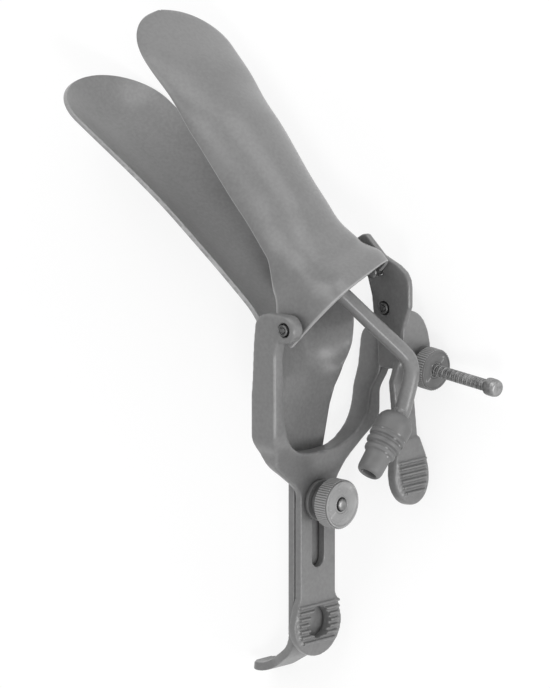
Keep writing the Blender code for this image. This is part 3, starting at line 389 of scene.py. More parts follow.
def makeNylon(name, look):
    made, bench, shader = newMaterial(name)
    place = bench.node("ShaderNodeTexCoord", out="Object")
    cloud = bench.node("ShaderNodeTexNoise", None, {
        "Vector": place, "Scale": look["cloudSize"], "Detail": 4.0})
    pits = bench.node("ShaderNodeTexVoronoi", None, {"Vector": place, "Scale": look["pitSize"]})
    bent = bench.node("ShaderNodeNewGeometry", out="Pointiness")
    body = bench.blend(look["dark"], look["light"], bench.ramp(cloud, 0.35, 0.65, 0, 1))
    # Lighter on sharp convex edges, by pointiness: partly wear, partly painted highlight
    colour = bench.blend(body, look["edge"], bench.ramp(bent, 0.53, 0.62, 0, look["wearAndHighlight"]))
    bump = bench.node("ShaderNodeBump", None, {"Strength": 0.25, "Distance": look["pitDepth"], "Height": pits})
    low, high = look["roughness"]
    setShader(bench, shader, {
        "Base Color": colour, "Roughness": bench.ramp(cloud, 0.3, 0.7, low, high),
        "Normal": bump, "Metallic": 0.0})
    return made


coating = makeCoating("greyCoating", coatingLook)
forgedCoating = makeCoating("forgedCoating", forgedLook)
paintedLightCoating = makeCoating("paintedLightCoating", paintedLightLook)
steel = makeSteel("darkSteel", steelLook)
pinSteel = makeSteel("blackenedSteel", pinLook)
nylon = makeNylon("greyNylon", nylonLook)
paintedLightFace = makeNylon("paintedLightFace", paintedLightFaceLook)
print("finishes made")


# Camera: set against the photograph in the instrument's own axes

cameraLook = {
    "right": (2.387, -2.5585, 0.0),
    "up": (0.1548, 0.1444, 0.977),
    "pixelsPerMm": 3.5,
    "sensor": 36,
    "hingePixel": (341.5, 317.6),
    "distance": 3.0,
    "photo": (550, 688),
}


def makeCamera():
    look = cameraLook
    across = Vector(look["right"]).normalized()
    upward = Vector(look["up"]).normalized()
    back = across.cross(upward).normalized()
    upward = back.cross(across)
    wide, tall = look["photo"]
    px = look["pixelsPerMm"] / mm
    aim = across * ((wide / 2 - look["hingePixel"][0]) / px) + upward * ((look["hingePixel"][1] - tall / 2) / px)
    data = bpy.data.cameras.new("photoCamera")
    data.sensor_width = look["sensor"]
    data.lens = look["sensor"] * look["distance"] / (tall / px)
    data.clip_start, data.clip_end = 0.05, 30
    made = bpy.data.objects.new("photoCamera", data)
    bpy.context.scene.collection.objects.link(made)
    turn = Matrix((across, upward, back)).transposed().to_4x4()
    made.matrix_world = placed @ Matrix.Translation(aim + back * look["distance"]) @ turn
    bpy.context.scene.camera = made
    turned = placed.to_3x3()
    return placed @ aim, turned @ across, turned @ upward, turned @ back


aim, seenRight, seenUp, seenBack = makeCamera()
print("camera set")


# Light, floor and background

lightLook = {
    "key": {"size": 0.7, "power": 3.0, "place": (-0.4, 0.75, 0.6)},
    "side": {"size": 0.5, "power": 4.0, "place": (0.75, -0.3, 0.6)},
    "low": {"size": 0.14, "power": 1.7, "place": (0.07, -0.4, 0.87)},
    "top": {"size": 0.5, "power": 1.4, "place": (0.6, 0.85, -0.1)},
    "lowest": 0.2,
    "sky": 0.9,
    "floor": (0.86, 0.86, 0.86, 1),
    "floorSize": 6,
    "floorDrop": 0.0002,
    "floorGlow": 0.75,
}


def makeLight(name, look):
    # Places are along the picture's right, its up, and towards the camera
    data = bpy.data.lights.new(name, "AREA")
    data.size = look["size"]
    data.energy = look["power"]
    made = bpy.data.objects.new(name, data)
    bpy.context.scene.collection.objects.link(made)
    across, upward, nearer = look["place"]
    offset = seenRight * across + seenUp * upward + seenBack * nearer
    offset.z = max(offset.z, lightLook["lowest"])
    made.location = aim + offset
    made.rotation_mode = "QUATERNION"
    made.rotation_quaternion = (-offset).to_track_quat("-Z", "Y")


def makeWorld():
    world = bpy.data.worlds.new("paleRoom")
    world.use_nodes = True
    bench = Bench(world.node_tree)
    path = world.node_tree.nodes.new("ShaderNodeLightPath")
    seen = Wire(world.node_tree, path.outputs["Is Camera Ray"]).maths(
        "MAXIMUM", Wire(world.node_tree, path.outputs["Is Glossy Ray"])).maths(
        "MAXIMUM", Wire(world.node_tree, path.outputs["Is Transmission Ray"]))
    ground = world.node_tree.nodes["Background"]
    ground.inputs["Color"].default_value = (1, 1, 1, 1)
    plug(world.node_tree, ground.inputs["Strength"], bench.ramp(seen, 0, 1, lightLook["sky"], 1, "LINEAR"))
    bpy.context.scene.world = world


def makeFloor():
    bm = bmesh.new()
    bmesh.ops.create_grid(bm, x_segments=4, y_segments=4, size=lightLook["floorSize"])
    floor = newObject("paleFloor", bm)
    floor.location.z = -lightLook["floorDrop"]
    made, bench, shader = newMaterial("paleFloor")
    plug(bench.tree, shader.inputs["Base Color"], lightLook["floor"])
    shader.inputs["Roughness"].default_value = 0.9
    path = bench.tree.nodes.new("ShaderNodeLightPath")
    seen = Wire(bench.tree, path.outputs["Is Camera Ray"])
    glow = bench.node("ShaderNodeEmission", None, {"Color": (1, 1, 1, 1), "Strength": 1.0})
    both = bench.node("ShaderNodeMixShader", None, {
        0: seen * lightLook["floorGlow"], 1: Wire(bench.tree, shader.outputs[0]), 2: glow})
    bench.tree.links.new(both.socket, bench.tree.nodes["Material Output"].inputs["Surface"])
    floor.data.materials.append(made)


for lightName in ("key", "side", "low", "top"):
    makeLight(lightName + "Light", lightLook[lightName])
makeWorld()
makeFloor()
bpy.context.scene.view_settings.view_transform = "Standard"
print("light and floor made")


# Geometry trees

def grown(name, sizes, finish, build):
    # Makes a mesh from a geometry tree whose named inputs are the sizes
    tree = bpy.data.node_groups.new(name, "GeometryNodeTree")
    tree.interface.new_socket(name="Geometry", in_out="OUTPUT", socket_type="NodeSocketGeometry")
    for key in sizes:
        tree.interface.new_socket(name=key, in_out="INPUT", socket_type="NodeSocketFloat")
    given = tree.nodes.new("NodeGroupInput")
    result = tree.nodes.new("NodeGroupOutput")
    bench = Bench(tree)
    shape = build(bench, {key: Wire(tree, given.outputs[key]) for key in sizes})
    solid = bench.node("GeometryNodeRealizeInstances", None, {"Geometry": shape})
    painted = bench.node("GeometryNodeSetMaterial", None, {"Geometry": solid, "Material": finish})
    tree.links.new(painted.socket, result.inputs[0])
    made = newObject(name, bmesh.new())
    step = made.modifiers.new(name, "NODES")
    step.node_group = tree
    for item in tree.interface.items_tree:
        if item.in_out == "INPUT":
            step[item.identifier] = sizes[item.name]
    return flatten(made)


def gridField(bench, countAlong, countAcross):
    # A grid, with its two counts as fields from 0 to 1
    grid = bench.node("GeometryNodeMeshGrid", None, {
        "Size X": 1.0, "Size Y": 1.0, "Vertices X": countAlong, "Vertices Y": countAcross})
    place = bench.node("GeometryNodeInputPosition")
    parts = bench.tree.nodes.new("ShaderNodeSeparateXYZ")
    plug(bench.tree, parts.inputs[0], place)
    return grid, Wire(bench.tree, parts.outputs[0]) + 0.5, Wire(bench.tree, parts.outputs[1]) + 0.5


def moved(bench, shape, x, y, z):
    place = bench.node("ShaderNodeCombineXYZ", None, {0: x, 1: y, 2: z})
    return bench.node("GeometryNodeSetPosition", None, {"Geometry": shape, "Position": place})


def softened(made, width):
    modified(made, "BEVEL", width=width, segments=3, limit_method="ANGLE", angle_limit=math.radians(50))


def sheetFrom(made, thickness):
    # Gives a lofted surface its thickness and a rounded rim
    modified(made, "SOLIDIFY", thickness=thickness, offset=0, use_even_offset=True)
    softened(made, thickness * 0.3)
    flatten(made)
    bm = bmesh.new()
    bm.from_mesh(made.data)
    bmesh.ops.remove_doubles(bm, verts=bm.verts, dist=0.002 * mm)
    bmesh.ops.recalc_face_normals(bm, faces=bm.faces)
    bm.to_mesh(made.data)
    bm.free()
    return made


bodyShare = 0.8    # of a blade's rows lie before its rounded tip


def tipTaper(along, bodyEnd, tipRound):
    # The share of its width that a blade keeps, along its rounded tip
    past = ((along - bodyEnd) / tipRound).maths("MAXIMUM", 0)
    return (1 - past * past).maths("MAXIMUM", 0.004).maths("SQRT")


def alongBlade(share, start, bodyEnd, tipRound):
    # Places along a blade, closer together round its tip
    body = (share / bodyShare).maths("MINIMUM", 1)
    tip = ((share - bodyShare).maths("MAXIMUM", 0) * (math.pi / 2 / (1 - bodyShare))).maths("SINE")
    return body * (bodyEnd - start) + tip * tipRound * 0.998 + start


# Upper blade

upperBlade = {
    "length": 107.0 * mm,
    "start": -3 * mm,
    "leftThroat": 18.9 * mm,
    "rightThroat": 16.9 * mm,
    "waist": 15.8 * mm,
    "tipHalf": 17.5 * mm,
    "tipRound": 16 * mm,
    "leftEar": -5.8 * mm,
    "rightEar": 5.6 * mm,
    "slant": 0.28,
}
upperRows, upperColumns = 150, 49
# Heights of its side edges and of its ridge, by distance along the blade
rimLine = [(23 * mm, 2.9 * mm), (38 * mm, 3.2 * mm), (64 * mm, 4.8 * mm), (80 * mm, 6.4 * mm), (90 * mm, 6.1 * mm)]
rimTip = 5.4 * mm
ridgeLine = [(0, 16.2 * mm), (12 * mm, 12.2 * mm), (21 * mm, 11.9 * mm), (34 * mm, 13.4 * mm),
             (62 * mm, 13.9 * mm), (80 * mm, 11.0 * mm)]
ridgeTip = 6.0 * mm
sheet = 1.2 * mm
upperPitch = math.radians(45)


def buildUpper(bench, size):
    grid, share, across = gridField(bench, upperRows, upperColumns)
    bodyEnd = size["length"] - size["tipRound"]
    along = alongBlade(share, size["start"], bodyEnd, size["tipRound"])
    onLeft = across.maths("LESS_THAN", 0.5)
    throat = onLeft * (size["leftThroat"] - size["rightThroat"]) + size["rightThroat"]
    half = bench.stations(along, [
        (3 * mm, throat), (16 * mm, size["rightThroat"] - 0.9 * mm), (36 * mm, size["waist"] - 0.6 * mm),
        (62 * mm, size["waist"] + 0.4 * mm), (bodyEnd, size["tipHalf"])])
    half = half * tipTaper(along, bodyEnd, size["tipRound"])
    ear = onLeft * (size["leftEar"] - size["rightEar"]) + size["rightEar"]
    rim = bench.stations(along, [
        (2 * mm, ear), (12 * mm, ear * 0.4 + 0.6 * mm), *rimLine, (size["length"], rimTip)])
    ridge = bench.stations(along, [*ridgeLine, (size["length"], ridgeTip)])
    square = bench.stations(along, [(8 * mm, 0.5), (30 * mm, 1.0)])
    curve = bench.stations(along, [(8 * mm, 0.85), (30 * mm, 1.4)])
    turn = across * math.pi
    x = (1 - onLeft * 2) * half * (turn.maths("COSINE").maths("ABSOLUTE") ** square)
    height = rim + (ridge - rim) * (turn.maths("SINE").maths("MAXIMUM", 0) ** curve)
    lean = (1 - along / (30 * mm)).maths("MAXIMUM", 0) * size["slant"]
    reach = along + (x + size["leftThroat"]) * lean
    cosine, sine = math.cos(upperPitch), math.sin(upperPitch)
    return moved(bench, grid, x, reach * cosine - height * sine, reach * sine + height * cosine)


# Lower blade: a flat tail, a bend, then the trough

lowerBlade = {
    "length": 113.3 * mm,
    "drop": 15.5 * mm,
    "bow": 480 * mm,
    "bowStart": 30 * mm,
    "bend": 26 * mm,
    "tailY": 14.9 * mm,
    "tailEnd": -50 * mm,
    "tailHalf": 6.9 * mm,
    "half": 17.0 * mm,
    "tipHalf": 19.2 * mm,
    "tipRound": 16 * mm,
    "throat": 16.9 * mm,
}
lowerRows, lowerColumns = 210, 41
# How deep the trough is under each side edge: places are from the start of the bend
leftEdge = {"bend": [(-8.3 * mm, 0), (-2.8 * mm, 0.9 * mm), (3.3 * mm, 2.6 * mm), (12.7 * mm, 5.2 * mm)],
            "throat": 5.6 * mm, "middle": -0.4 * mm, "tip": 0.2 * mm}
rightEdge = {"bend": [(-8.3 * mm, 0), (-2.8 * mm, 0.9 * mm), (3.3 * mm, 3.4 * mm), (8 * mm, 7.2 * mm),
                      (12.7 * mm, 9.4 * mm)],
             "throat": 10.4 * mm, "middle": -5.0 * mm, "tip": -4.6 * mm}
lowerPitch = math.radians(38)


def lowerRuns(size):
    # Lengths of the straight tail and of the bend, and where the blade leaves the bend
    turn = math.pi / 2 - lowerPitch
    corner = (size["tailY"] - size["drop"] * math.sin(lowerPitch)) / math.cos(lowerPitch)
    reach = size["bend"] * math.tan(turn / 2)
    cornerZ = corner * math.sin(lowerPitch) - size["drop"] * math.cos(lowerPitch)
    tail = cornerZ - reach - size["tailEnd"]
    return tail, size["bend"] * turn, corner + reach, turn


def edgeDepth(bench, run, edge, tail, bend, end):
    rising = [(tail + place, depth) for place, depth in edge["bend"]]
    return bench.stations(run, [*rising, (bend - 3 * mm, edge["throat"])], "LINEAR") + bench.stations(run, [
        (bend, 0), (bend + 30 * mm, edge["middle"]), (end, edge["tip"])])


def buildLower(bench, size):
    tail, arc, start, turn = lowerRuns(lowerBlade)
    bend = tail + arc
    grid, share, across = gridField(bench, lowerRows, lowerColumns)
    bodyEnd = size["length"] - size["tipRound"] - start + bend
    run = alongBlade(share, 0.0, bodyEnd, size["tipRound"])
    angle = ((run - tail).maths("MAXIMUM", 0).maths("MINIMUM", arc)) / size["bend"]
    beyond = (run - bend).maths("MAXIMUM", 0)
    past = (beyond + start - size["bowStart"]).maths("MAXIMUM", 0)
    bow = past * past / (size["bow"] * 2)
    cosine, sine = math.cos(lowerPitch), math.sin(lowerPitch)
    y = (1 - angle.maths("COSINE")) * size["bend"] + beyond * cosine + bow * sine + size["tailY"]
    z = (run.maths("MINIMUM", tail) + angle.maths("SINE") * size["bend"] + beyond * sine
         - bow * cosine + size["tailEnd"])
    pitch = math.pi / 2 - angle - past / size["bow"]
    throat = size["throat"]
    rounding = bench.stations(run, [
        (0, size["tailHalf"] * 0.55), (1.2 * mm, size["tailHalf"] * 0.84), (3 * mm, size["tailHalf"] * 0.96),
        (5 * mm, size["tailHalf"])])
    flare = bench.stations(run, [(6 * mm, 0), (bend - 6 * mm, throat - size["tailHalf"])], "LINEAR")
    spread = bench.stations(run, [(bend, 0), (bend + 34 * mm, size["half"] - throat),
                                  (bodyEnd, size["tipHalf"] - throat)])
    half = rounding + flare + spread
    onLeft = edgeDepth(bench, run, leftEdge, tail, bend, bodyEnd + size["tipRound"])
    onRight = edgeDepth(bench, run, rightEdge, tail, bend, bodyEnd + size["tipRound"])
    taper = tipTaper(run, bodyEnd, size["tipRound"])
    part = across * 2 - 1
    depth = onLeft + (onRight - onLeft) * part.maths("GREATER_THAN", 0)
    rise = depth * (1 - taper * taper * (1 - part * part))
    return moved(bench, grid, part * half * taper, y - pitch.maths("SINE") * rise,
                 z + pitch.maths("COSINE") * rise)


def drill(at, axis, radius, reach):
    return lathe("drill", [(-reach, 0), (-reach, radius), (reach, radius), (reach, 0)], at, axis, 40)


def upperPoint(x, along, height):
    cosine, sine = math.cos(upperPitch), math.sin(upperPitch)
    return Vector((x, along * cosine - height * sine, along * sine + height * cosine))


rivetLook = {"radius": 1.3 * mm, "hole": 1.6 * mm, "wallAt": 16 * mm, "reach": 3.5 * mm,
             "leverPlaces": (9 * mm, 14.5 * mm), "leverHeight": 6.3 * mm, "leverFrom": 14.5 * mm,
             "leverLength": 4.9 * mm,
             "tailSpread": 4 * mm, "tailHeight": -45.6 * mm, "tailFrom": 11.8 * mm, "tailLength": 3.9 * mm}
earHole = {"at": -17 * mm, "radius": 2.0 * mm, "reach": 4 * mm}

blade = sheetFrom(grown("upperBlade", upperBlade, coating, buildUpper), sheet)
holes = [drill(right * earHole["at"], right, earHole["radius"], earHole["reach"])]
for place in rivetLook["leverPlaces"]:
    holes.append(drill(upperPoint(rivetLook["wallAt"], place, rivetLook["leverHeight"]), right,
                       rivetLook["hole"], rivetLook["reach"]))
carved(blade, holes)
fit(smoothed(blade, 50), "upper_blade", "upper", coating)

blade = sheetFrom(grown("lowerBlade", lowerBlade, coating, buildLower), sheet)
carved(blade, [drill(Vector((side * rivetLook["tailSpread"], lowerBlade["tailY"], rivetLook["tailHeight"])),
                     front, rivetLook["hole"], 3 * mm) for side in (-1, 1)])
# The lower blade wears the lighter copy of the coating: painted light
fit(smoothed(blade, 50), "lower_blade", "handle", paintedLightCoating)
print("blades made")


# Forged and cut pieces start from the CAD shape, with the soft edges of a dipped coating

forgings = [
    ("yokeForging", "yoke", "yoke", 0.36 * mm, 5),
    ("leverForging", "lever", "upper", 0.3 * mm, 4),
    ("handleStrip", "lower_handle", "handle", 0.32 * mm, 4),
    ("saddleFront", "tube_saddle_front", "upper", 0.16 * mm, 3),
    ("saddleRear", "tube_saddle_rear", "upper", 0.16 * mm, 3),
]
armLook = {
    "reach": 20.1 * mm, "front": 12.7 * mm, "depth": 9.3 * mm, "keep": 2.6 * mm, "rounds": 34,
    "lean": 1.9 * mm, "slim": 2.0 * mm,
    "leanAt": [(-50 * mm, 0), (-38 * mm, 1), (-26 * mm, 1), (-18.4 * mm, 0)],
    "cutBackAt": [(-10 * mm, 1), (-3 * mm, 0.48)],
    "fullerAt": [(-20 * mm, 0), (0, 0.15)],
    "shoulder": 4.2 * mm,
    "shoulderAt": [(-54 * mm, 0), (-46.5 * mm, 1), (-44 * mm, 1), (-37 * mm, 0)],
    "roundedAt": [(-56 * mm, 0), (-49 * mm, 1)],
}
footLook = {
    "lower": 1.2 * mm, "lowerAt": [(-105 * mm, 1), (-93 * mm, 0)],
    "narrower": 0.06, "narrowerAt": [(-102 * mm, 0), (-98 * mm, 1), (-96 * mm, 1), (-92 * mm, 0)],
}


def shapeArms(made, look):
    # Leans and slims the right arm and cuts its top back, fills out the left one's front,
    # widens the web's left shoulder, and rounds both arms; shares go by height
    group = made.vertex_groups.new(name="arms")
    for v in made.data.vertices:
        x, y, z = v.co
        if x > 0:
            share = eased(look["leanAt"], z) * min(x / look["reach"], 1)
            v.co.x -= look["lean"] * share
            v.co.y += look["slim"] * share * min(max((look["front"] - y) / look["depth"], 0), 1)
            if x > look["reach"] * 0.9 and y > look["keep"]:
                v.co.y = look["keep"] + (v.co.y - look["keep"]) * eased(look["cutBackAt"], z)
        else:
            if y > look["keep"]:
                v.co.y += (y - look["keep"]) * eased(look["fullerAt"], z)
            v.co.x += look["shoulder"] * eased(look["shoulderAt"], z) * max(x / look["reach"], -1)
        group.add([v.index], eased(look["roundedAt"], z), "REPLACE")
    modified(made, "SMOOTH", factor=0.5, iterations=look["rounds"], vertex_group="arms")
    return flatten(made)


def shapeFoot(made, look):
    # Lowers the curled lip a little and narrows the neck above it
    for v in made.data.vertices:
        low = eased(look["lowerAt"], v.co.z)
        neck = eased(look["narrowerAt"], v.co.z)
        v.co.z -= look["lower"] * low
        v.co.x *= 1 - look["narrower"] * neck
    return made


# Knurls, threads and grip ridges come from small geometry trees

def roundRibs(bench, size):
    # Ribs round a nut's rim, along its axis
    rim = bench.node("GeometryNodeCurvePrimitiveCircle", None, {
        "Resolution": 96, "Radius": size["rimRadius"]})
    spots = bench.node("GeometryNodeCurveToPoints", {"mode": "COUNT"}, {0: rim, "Count": size["count"]})
    rib = bench.node("GeometryNodeMeshCylinder", None, {
        "Vertices": 8, "Radius": size["ribRadius"], "Depth": size["ribLength"]})
    return bench.node("GeometryNodeInstanceOnPoints", None, {"Points": spots, "Instance": rib})


def threadWire(bench, size):
    # One wire wound into a screw thread
    turns = size["length"] / size["pitch"]
    helix = bench.tree.nodes.new("GeometryNodeCurveSpiral")
    for name, value in (("Resolution", 20), ("Rotations", turns), ("Start Radius", size["radius"]),
                        ("End Radius", size["radius"]), ("Height", size["length"])):
        plug(bench.tree, helix.inputs[name], value)
    section = bench.node("GeometryNodeCurvePrimitiveCircle", None, {
        "Resolution": 6, "Radius": size["wire"]})
    return bench.node("GeometryNodeCurveToMesh", None, {
        "Curve": Wire(bench.tree, helix.outputs[0]), "Profile Curve": section, "Fill Caps": True})


def ridgeRow(bench, size):
    # Rounded bars side by side: x along the bars, y from one to the next, shorter at the ends
    count = size["count"]
    start = bench.node("ShaderNodeCombineXYZ", None, {1: size["pitch"] * (1 - count) * 0.5})
    step = bench.node("ShaderNodeCombineXYZ", None, {1: size["pitch"]})
    line = bench.node("GeometryNodeMeshLine", None, {"Count": count, "Start Location": start, "Offset": step})
    spots = bench.node("GeometryNodeMeshToPoints", None, {0: line})
    bar = bench.node("GeometryNodeMeshCylinder", None, {
        "Vertices": 40, "Side Segments": 12, "Radius": size["barRadius"], "Depth": 1.0})
    lying = bench.node("GeometryNodeTransform", None, {"Geometry": bar, "Rotation": (0, math.pi / 2, 0)})
    place = bench.node("GeometryNodeInputPosition")
    parts = bench.tree.nodes.new("ShaderNodeSeparateXYZ")
    plug(bench.tree, parts.inputs[0], place)
    low = (-Wire(bench.tree, parts.outputs[1])).maths("MAXIMUM", 0) / size["half"]
    length = (1 - low * low).maths("MAXIMUM", 0.05).maths("SQRT") * size["half"] * 2 - size["border"] * 2
    stretch = bench.node("ShaderNodeCombineXYZ", None, {0: length, 1: 1.0, 2: size["flatness"]})
    return bench.node("GeometryNodeInstanceOnPoints", None, {
        "Points": spots, "Instance": lying, "Scale": stretch})


def frameOf(origin, across, upward):
    # A matrix that carries x to across, y to upward, and z to their cross product
    outward = across.cross(upward).normalized()
    return Matrix.Translation(origin) @ Matrix((across, upward, outward)).transposed().to_4x4()


def joined(name, parts):
    bm = bmesh.new()
    for part in parts:
        bm.from_mesh(part.data)
        bpy.data.objects.remove(part)
    return newObject(name, bm)


def sliced(head, at, axis, across, width, depth, reach):
    # Saws a screwdriver slot into a screw's head
    other = axis.cross(across).normalized()
    bm = bmesh.new()
    bmesh.ops.create_cube(bm, size=1)
    bmesh.ops.scale(bm, vec=(reach * 2, width, depth * 2), verts=bm.verts)
    bmesh.ops.transform(bm, matrix=frameOf(at, across, other), verts=bm.verts)
    return carved(head, [newObject("saw", bm)])


padLook = {"count": 7, "pitch": 1.8 * mm, "barRadius": 0.5 * mm, "half": 10 * mm, "border": 1.9 * mm,
           "flatness": 1.7}
padAt = Vector((0, 8.75, -91)) * mm
padHole = 4.5 * mm
paddleLook = {"count": 6, "pitch": 1.8 * mm, "barRadius": 0.48 * mm, "half": 7.25 * mm, "border": 1.8 * mm,
              "flatness": 1.8}

# The lever: its ear crosses the rod, and its shank runs from the knee down to the paddle
leverLook = {"earAt": 13.5 * mm, "ear": 2.2 * mm, "kneeHeight": -17.4 * mm, "face": 1.95 * mm,
             "ridgesDown": 0.18 * mm}
paddleAt = Vector((18.8, -8.9, -48)) * mm
earUp = rodAlong.cross(right).normalized()
earUp = earUp if earUp.z > 0 else -earUp
passing = rodAt + rodAlong * leverLook["earAt"]
knee = passing + earUp * ((leverLook["kneeHeight"] - passing.z) / earUp.z)
shankUp = (Vector((paddleAt.x, knee.y, knee.z)) - paddleAt).normalized()
paddleRear = right.cross(shankUp).normalized()
paddleRear = paddleRear if paddleRear.y < 0 else -paddleRear

for pieceName, nodeName, bodyName, voxel, rounds in forgings:
    made = forged(pieceName, nodeName, voxel, rounds)
    if nodeName == "yoke":
        made = shapeArms(made, armLook)
        ridges = grown("padRidges", padLook, coating, ridgeRow)
        ridges.data.transform(frameOf(padAt, right, top))
        carved(ridges, [drill(padAt, front, padHole, 4 * mm)])
        made = joined(pieceName, [made, ridges])
    if nodeName == "lower_handle":
        made = shapeFoot(made, footLook)
    if nodeName == "lever":
        ridges = grown("paddleRidges", paddleLook, coating, ridgeRow)
        spot = paddleAt + paddleRear * leverLook["face"] - shankUp * leverLook["ridgesDown"]
        ridges.data.transform(frameOf(spot, right, shankUp))
        made = joined(pieceName, [made, ridges])
    fit(smoothed(made, 60), nodeName, bodyName, forgedCoating)
print("forgings made")


# Clamp nut and rod nut

clampNutLook = {
    "radius": 7.2 * mm, "thick": 5.0 * mm, "collar": 4.8 * mm, "collarLength": 2.8 * mm,
    "bore": 2.15 * mm, "ribs": 60, "ribRadius": 0.27 * mm, "dish": 0.5 * mm, "grooves": 10,
    "grooveDepth": 0.07 * mm,
}
rodNutLook = {
    **clampNutLook,
    "radius": 6.1 * mm, "thick": 4.6 * mm, "collar": 3.2 * mm, "collarLength": 0.9 * mm,
    "bore": 1.95 * mm, "ribs": 50, "dish": 0.45 * mm,
}


def makeNut(name, look, origin, axis):
    # The axis points from the outer face to the collar
    radius, thick, dish = look["radius"], look["thick"], look["dish"]
    rim = radius - 0.22 * mm
    end = thick + look["collarLength"]
    inside, outside = look["bore"] + 0.7 * mm, radius * 0.72
    count = look["grooves"]
    grooves = [(dish * (0.75 + 0.25 * k / count) + (look["grooveDepth"] if k % 2 else 0),
                inside + (outside - inside) * k / count) for k in range(count)]
    profile = softProfile([
        (dish, look["bore"]), (dish * 1.3, look["bore"] + 0.4 * mm), *grooves,
        (dish, outside), (dish * 0.75, radius * 0.84), (0, radius * 0.88), (0, radius * 0.93),
        (0.45 * mm, rim), (thick - 0.45 * mm, rim), (thick, radius * 0.92), (thick, look["collar"] + 0.3 * mm),
        (thick + 0.3 * mm, look["collar"]), (end - 0.2 * mm, look["collar"]), (end, look["collar"] - 0.2 * mm),
        (end, look["bore"])], 0.3 * mm)
    core = lathe(name, profile, origin, axis, 96)
    ribs = grown(name + "Ribs", {
        "rimRadius": rim - 0.04 * mm, "count": look["ribs"], "ribRadius": look["ribRadius"],
        "ribLength": thick - 1.0 * mm}, nylon, roundRibs)
    side = axis.orthogonal().normalized()
    ribs.data.transform(frameOf(origin + axis * thick / 2, side, axis.cross(side)))
    made = smoothed(joined(name, [core, ribs]))
    for face in made.data.polygons:
        offset = face.center - origin
        reach = (offset - axis * offset.dot(axis)).length
        face.material_index = 1 if offset.dot(axis) < dish * 1.5 and reach < radius * 0.94 else 0
    return made


# The clamp nut's outer face gets the lighter copy of the nylon: painted light
fit(makeNut("clampNut", clampNutLook, clampAt, front), "clamp_nut", "clamp", nylon, paintedLightFace)
nutGap = 0.6 * mm
nutAt = rodAt + rodAlong * (leverLook["earAt"] + leverLook["ear"] / 2 + nutGap
                            + rodNutLook["collarLength"] + rodNutLook["thick"])
fit(makeNut("rodNut", rodNutLook, nutAt, -rodAlong), "rod_nut", "nut", nylon)
print("nuts made")


# Threaded rod and its knob

rodLook = {"radius": 1.8 * mm, "length": 39.6 * mm, "core": 1.58 * mm, "pitch": 0.8 * mm, "thread": 0.24 * mm,
           "eye": 4.4 * mm, "eyeThick": 3.6 * mm, "pin": 1.85 * mm, "knob": 2.6 * mm}


def makeRod(look):
    half = look["eyeThick"] / 2
    eye = lathe("threadedRod", softProfile([
        (-half, look["pin"]), (-half, look["eye"]), (half, look["eye"]), (half, look["pin"])], 0.5 * mm),
        rodAt, right, 64)
    shaft = lathe("shaft", softProfile([
        (look["eye"] - 1.2 * mm, 0), (look["eye"] - 1.2 * mm, look["radius"]),
        (look["eye"] + 1.4 * mm, look["radius"]), (look["eye"] + 1.8 * mm, look["core"]),
        (look["length"], look["core"]), (look["length"], 0)], 0.2 * mm), rodAt, rodAlong, 40)
    run = look["length"] - look["eye"] - 2.4 * mm
    thread = grown("thread", {
        "length": run, "pitch": look["pitch"], "radius": look["radius"] - look["thread"], "wire": look["thread"]},
        steel, threadWire)
    side = rodAlong.orthogonal().normalized()
    thread.data.transform(frameOf(rodAt + rodAlong * (look["eye"] + 2.0 * mm), side, rodAlong.cross(side)))
    return smoothed(joined("threadedRod", [eye, shaft, thread]), 40)


fit(makeRod(rodLook), "threaded_rod", "rod", steel)
knobAt = rodAt + rodAlong * (rodLook["length"] + 0.05 * mm)
knobShares = [(0, 0), (0, 0.66), (0.22, 0.7), (0.3, 0.95), (0.6, 1), (1.35, 1), (1.75, 0.88), (1.85, 0.74),
              (1.85, 0)]
knobProfile = [(along * rodLook["knob"], radius * rodLook["knob"]) for along, radius in knobShares]
knob = lathe("rodKnob", softProfile(knobProfile, 0.3 * mm), knobAt, rodAlong, 56)
fit(smoothed(knob, 60), "rod_knob", "rod", steel)
print("rod and knob made")


# Screws, rivets, stud and washer

screwLook = {"pin": 1.7 * mm, "head": 2.8 * mm, "headHeight": 0.9 * mm, "slot": 0.6 * mm, "slotDepth": 0.45 * mm}


def makeScrew(name, start, axis, length, across):
    # A pin with a low rounded head at its far end, slotted for a screwdriver
    pin, head, tall = screwLook["pin"], screwLook["head"], screwLook["headHeight"]
    made = lathe(name, softProfile([
        (0.1 * mm, 0), (0.1 * mm, pin * 0.4), (0.5 * mm, pin * 0.48), (0.5 * mm, pin * 0.68),
        (0, pin * 0.74), (0, pin * 0.9), (0.3 * mm, pin),
        (length, pin), (length, head), (length + tall * 0.55, head), (length + tall, head * 0.72),
        (length + tall, 0)], 0.3 * mm), start, axis, 48)
    end = start + axis * (length + tall)
    sliced(made, end, axis, across, screwLook["slot"], screwLook["slotDepth"], head * 1.3)
    return smoothed(made, 40)


pivotScrews = {"pivot_screw_left": (-24.9 * mm, -17.7 * mm), "pivot_screw_right": (17.3 * mm, 24.9 * mm)}
for nodeName, (near, far) in pivotScrews.items():
    made = makeScrew(nodeName.replace("_", ""), right * near, right, far - near, top)
    fit(made, nodeName, "yoke", pinSteel)
anchorLook = {"from": 21.4 * mm, "gap": 0.3 * mm}
anchorEnd = rodAt.x + rodLook["eyeThick"] / 2 + anchorLook["gap"]
made = makeScrew("anchorScrew", Vector((anchorLook["from"], rodAt.y, rodAt.z)), right,
                 anchorEnd - anchorLook["from"], top)
fit(made, "anchor_screw", "yoke", pinSteel)


def makeRivet(name, start, axis, profile):
    return smoothed(lathe(name, softProfile(profile, 0.25 * mm), start, axis, 48), 45)


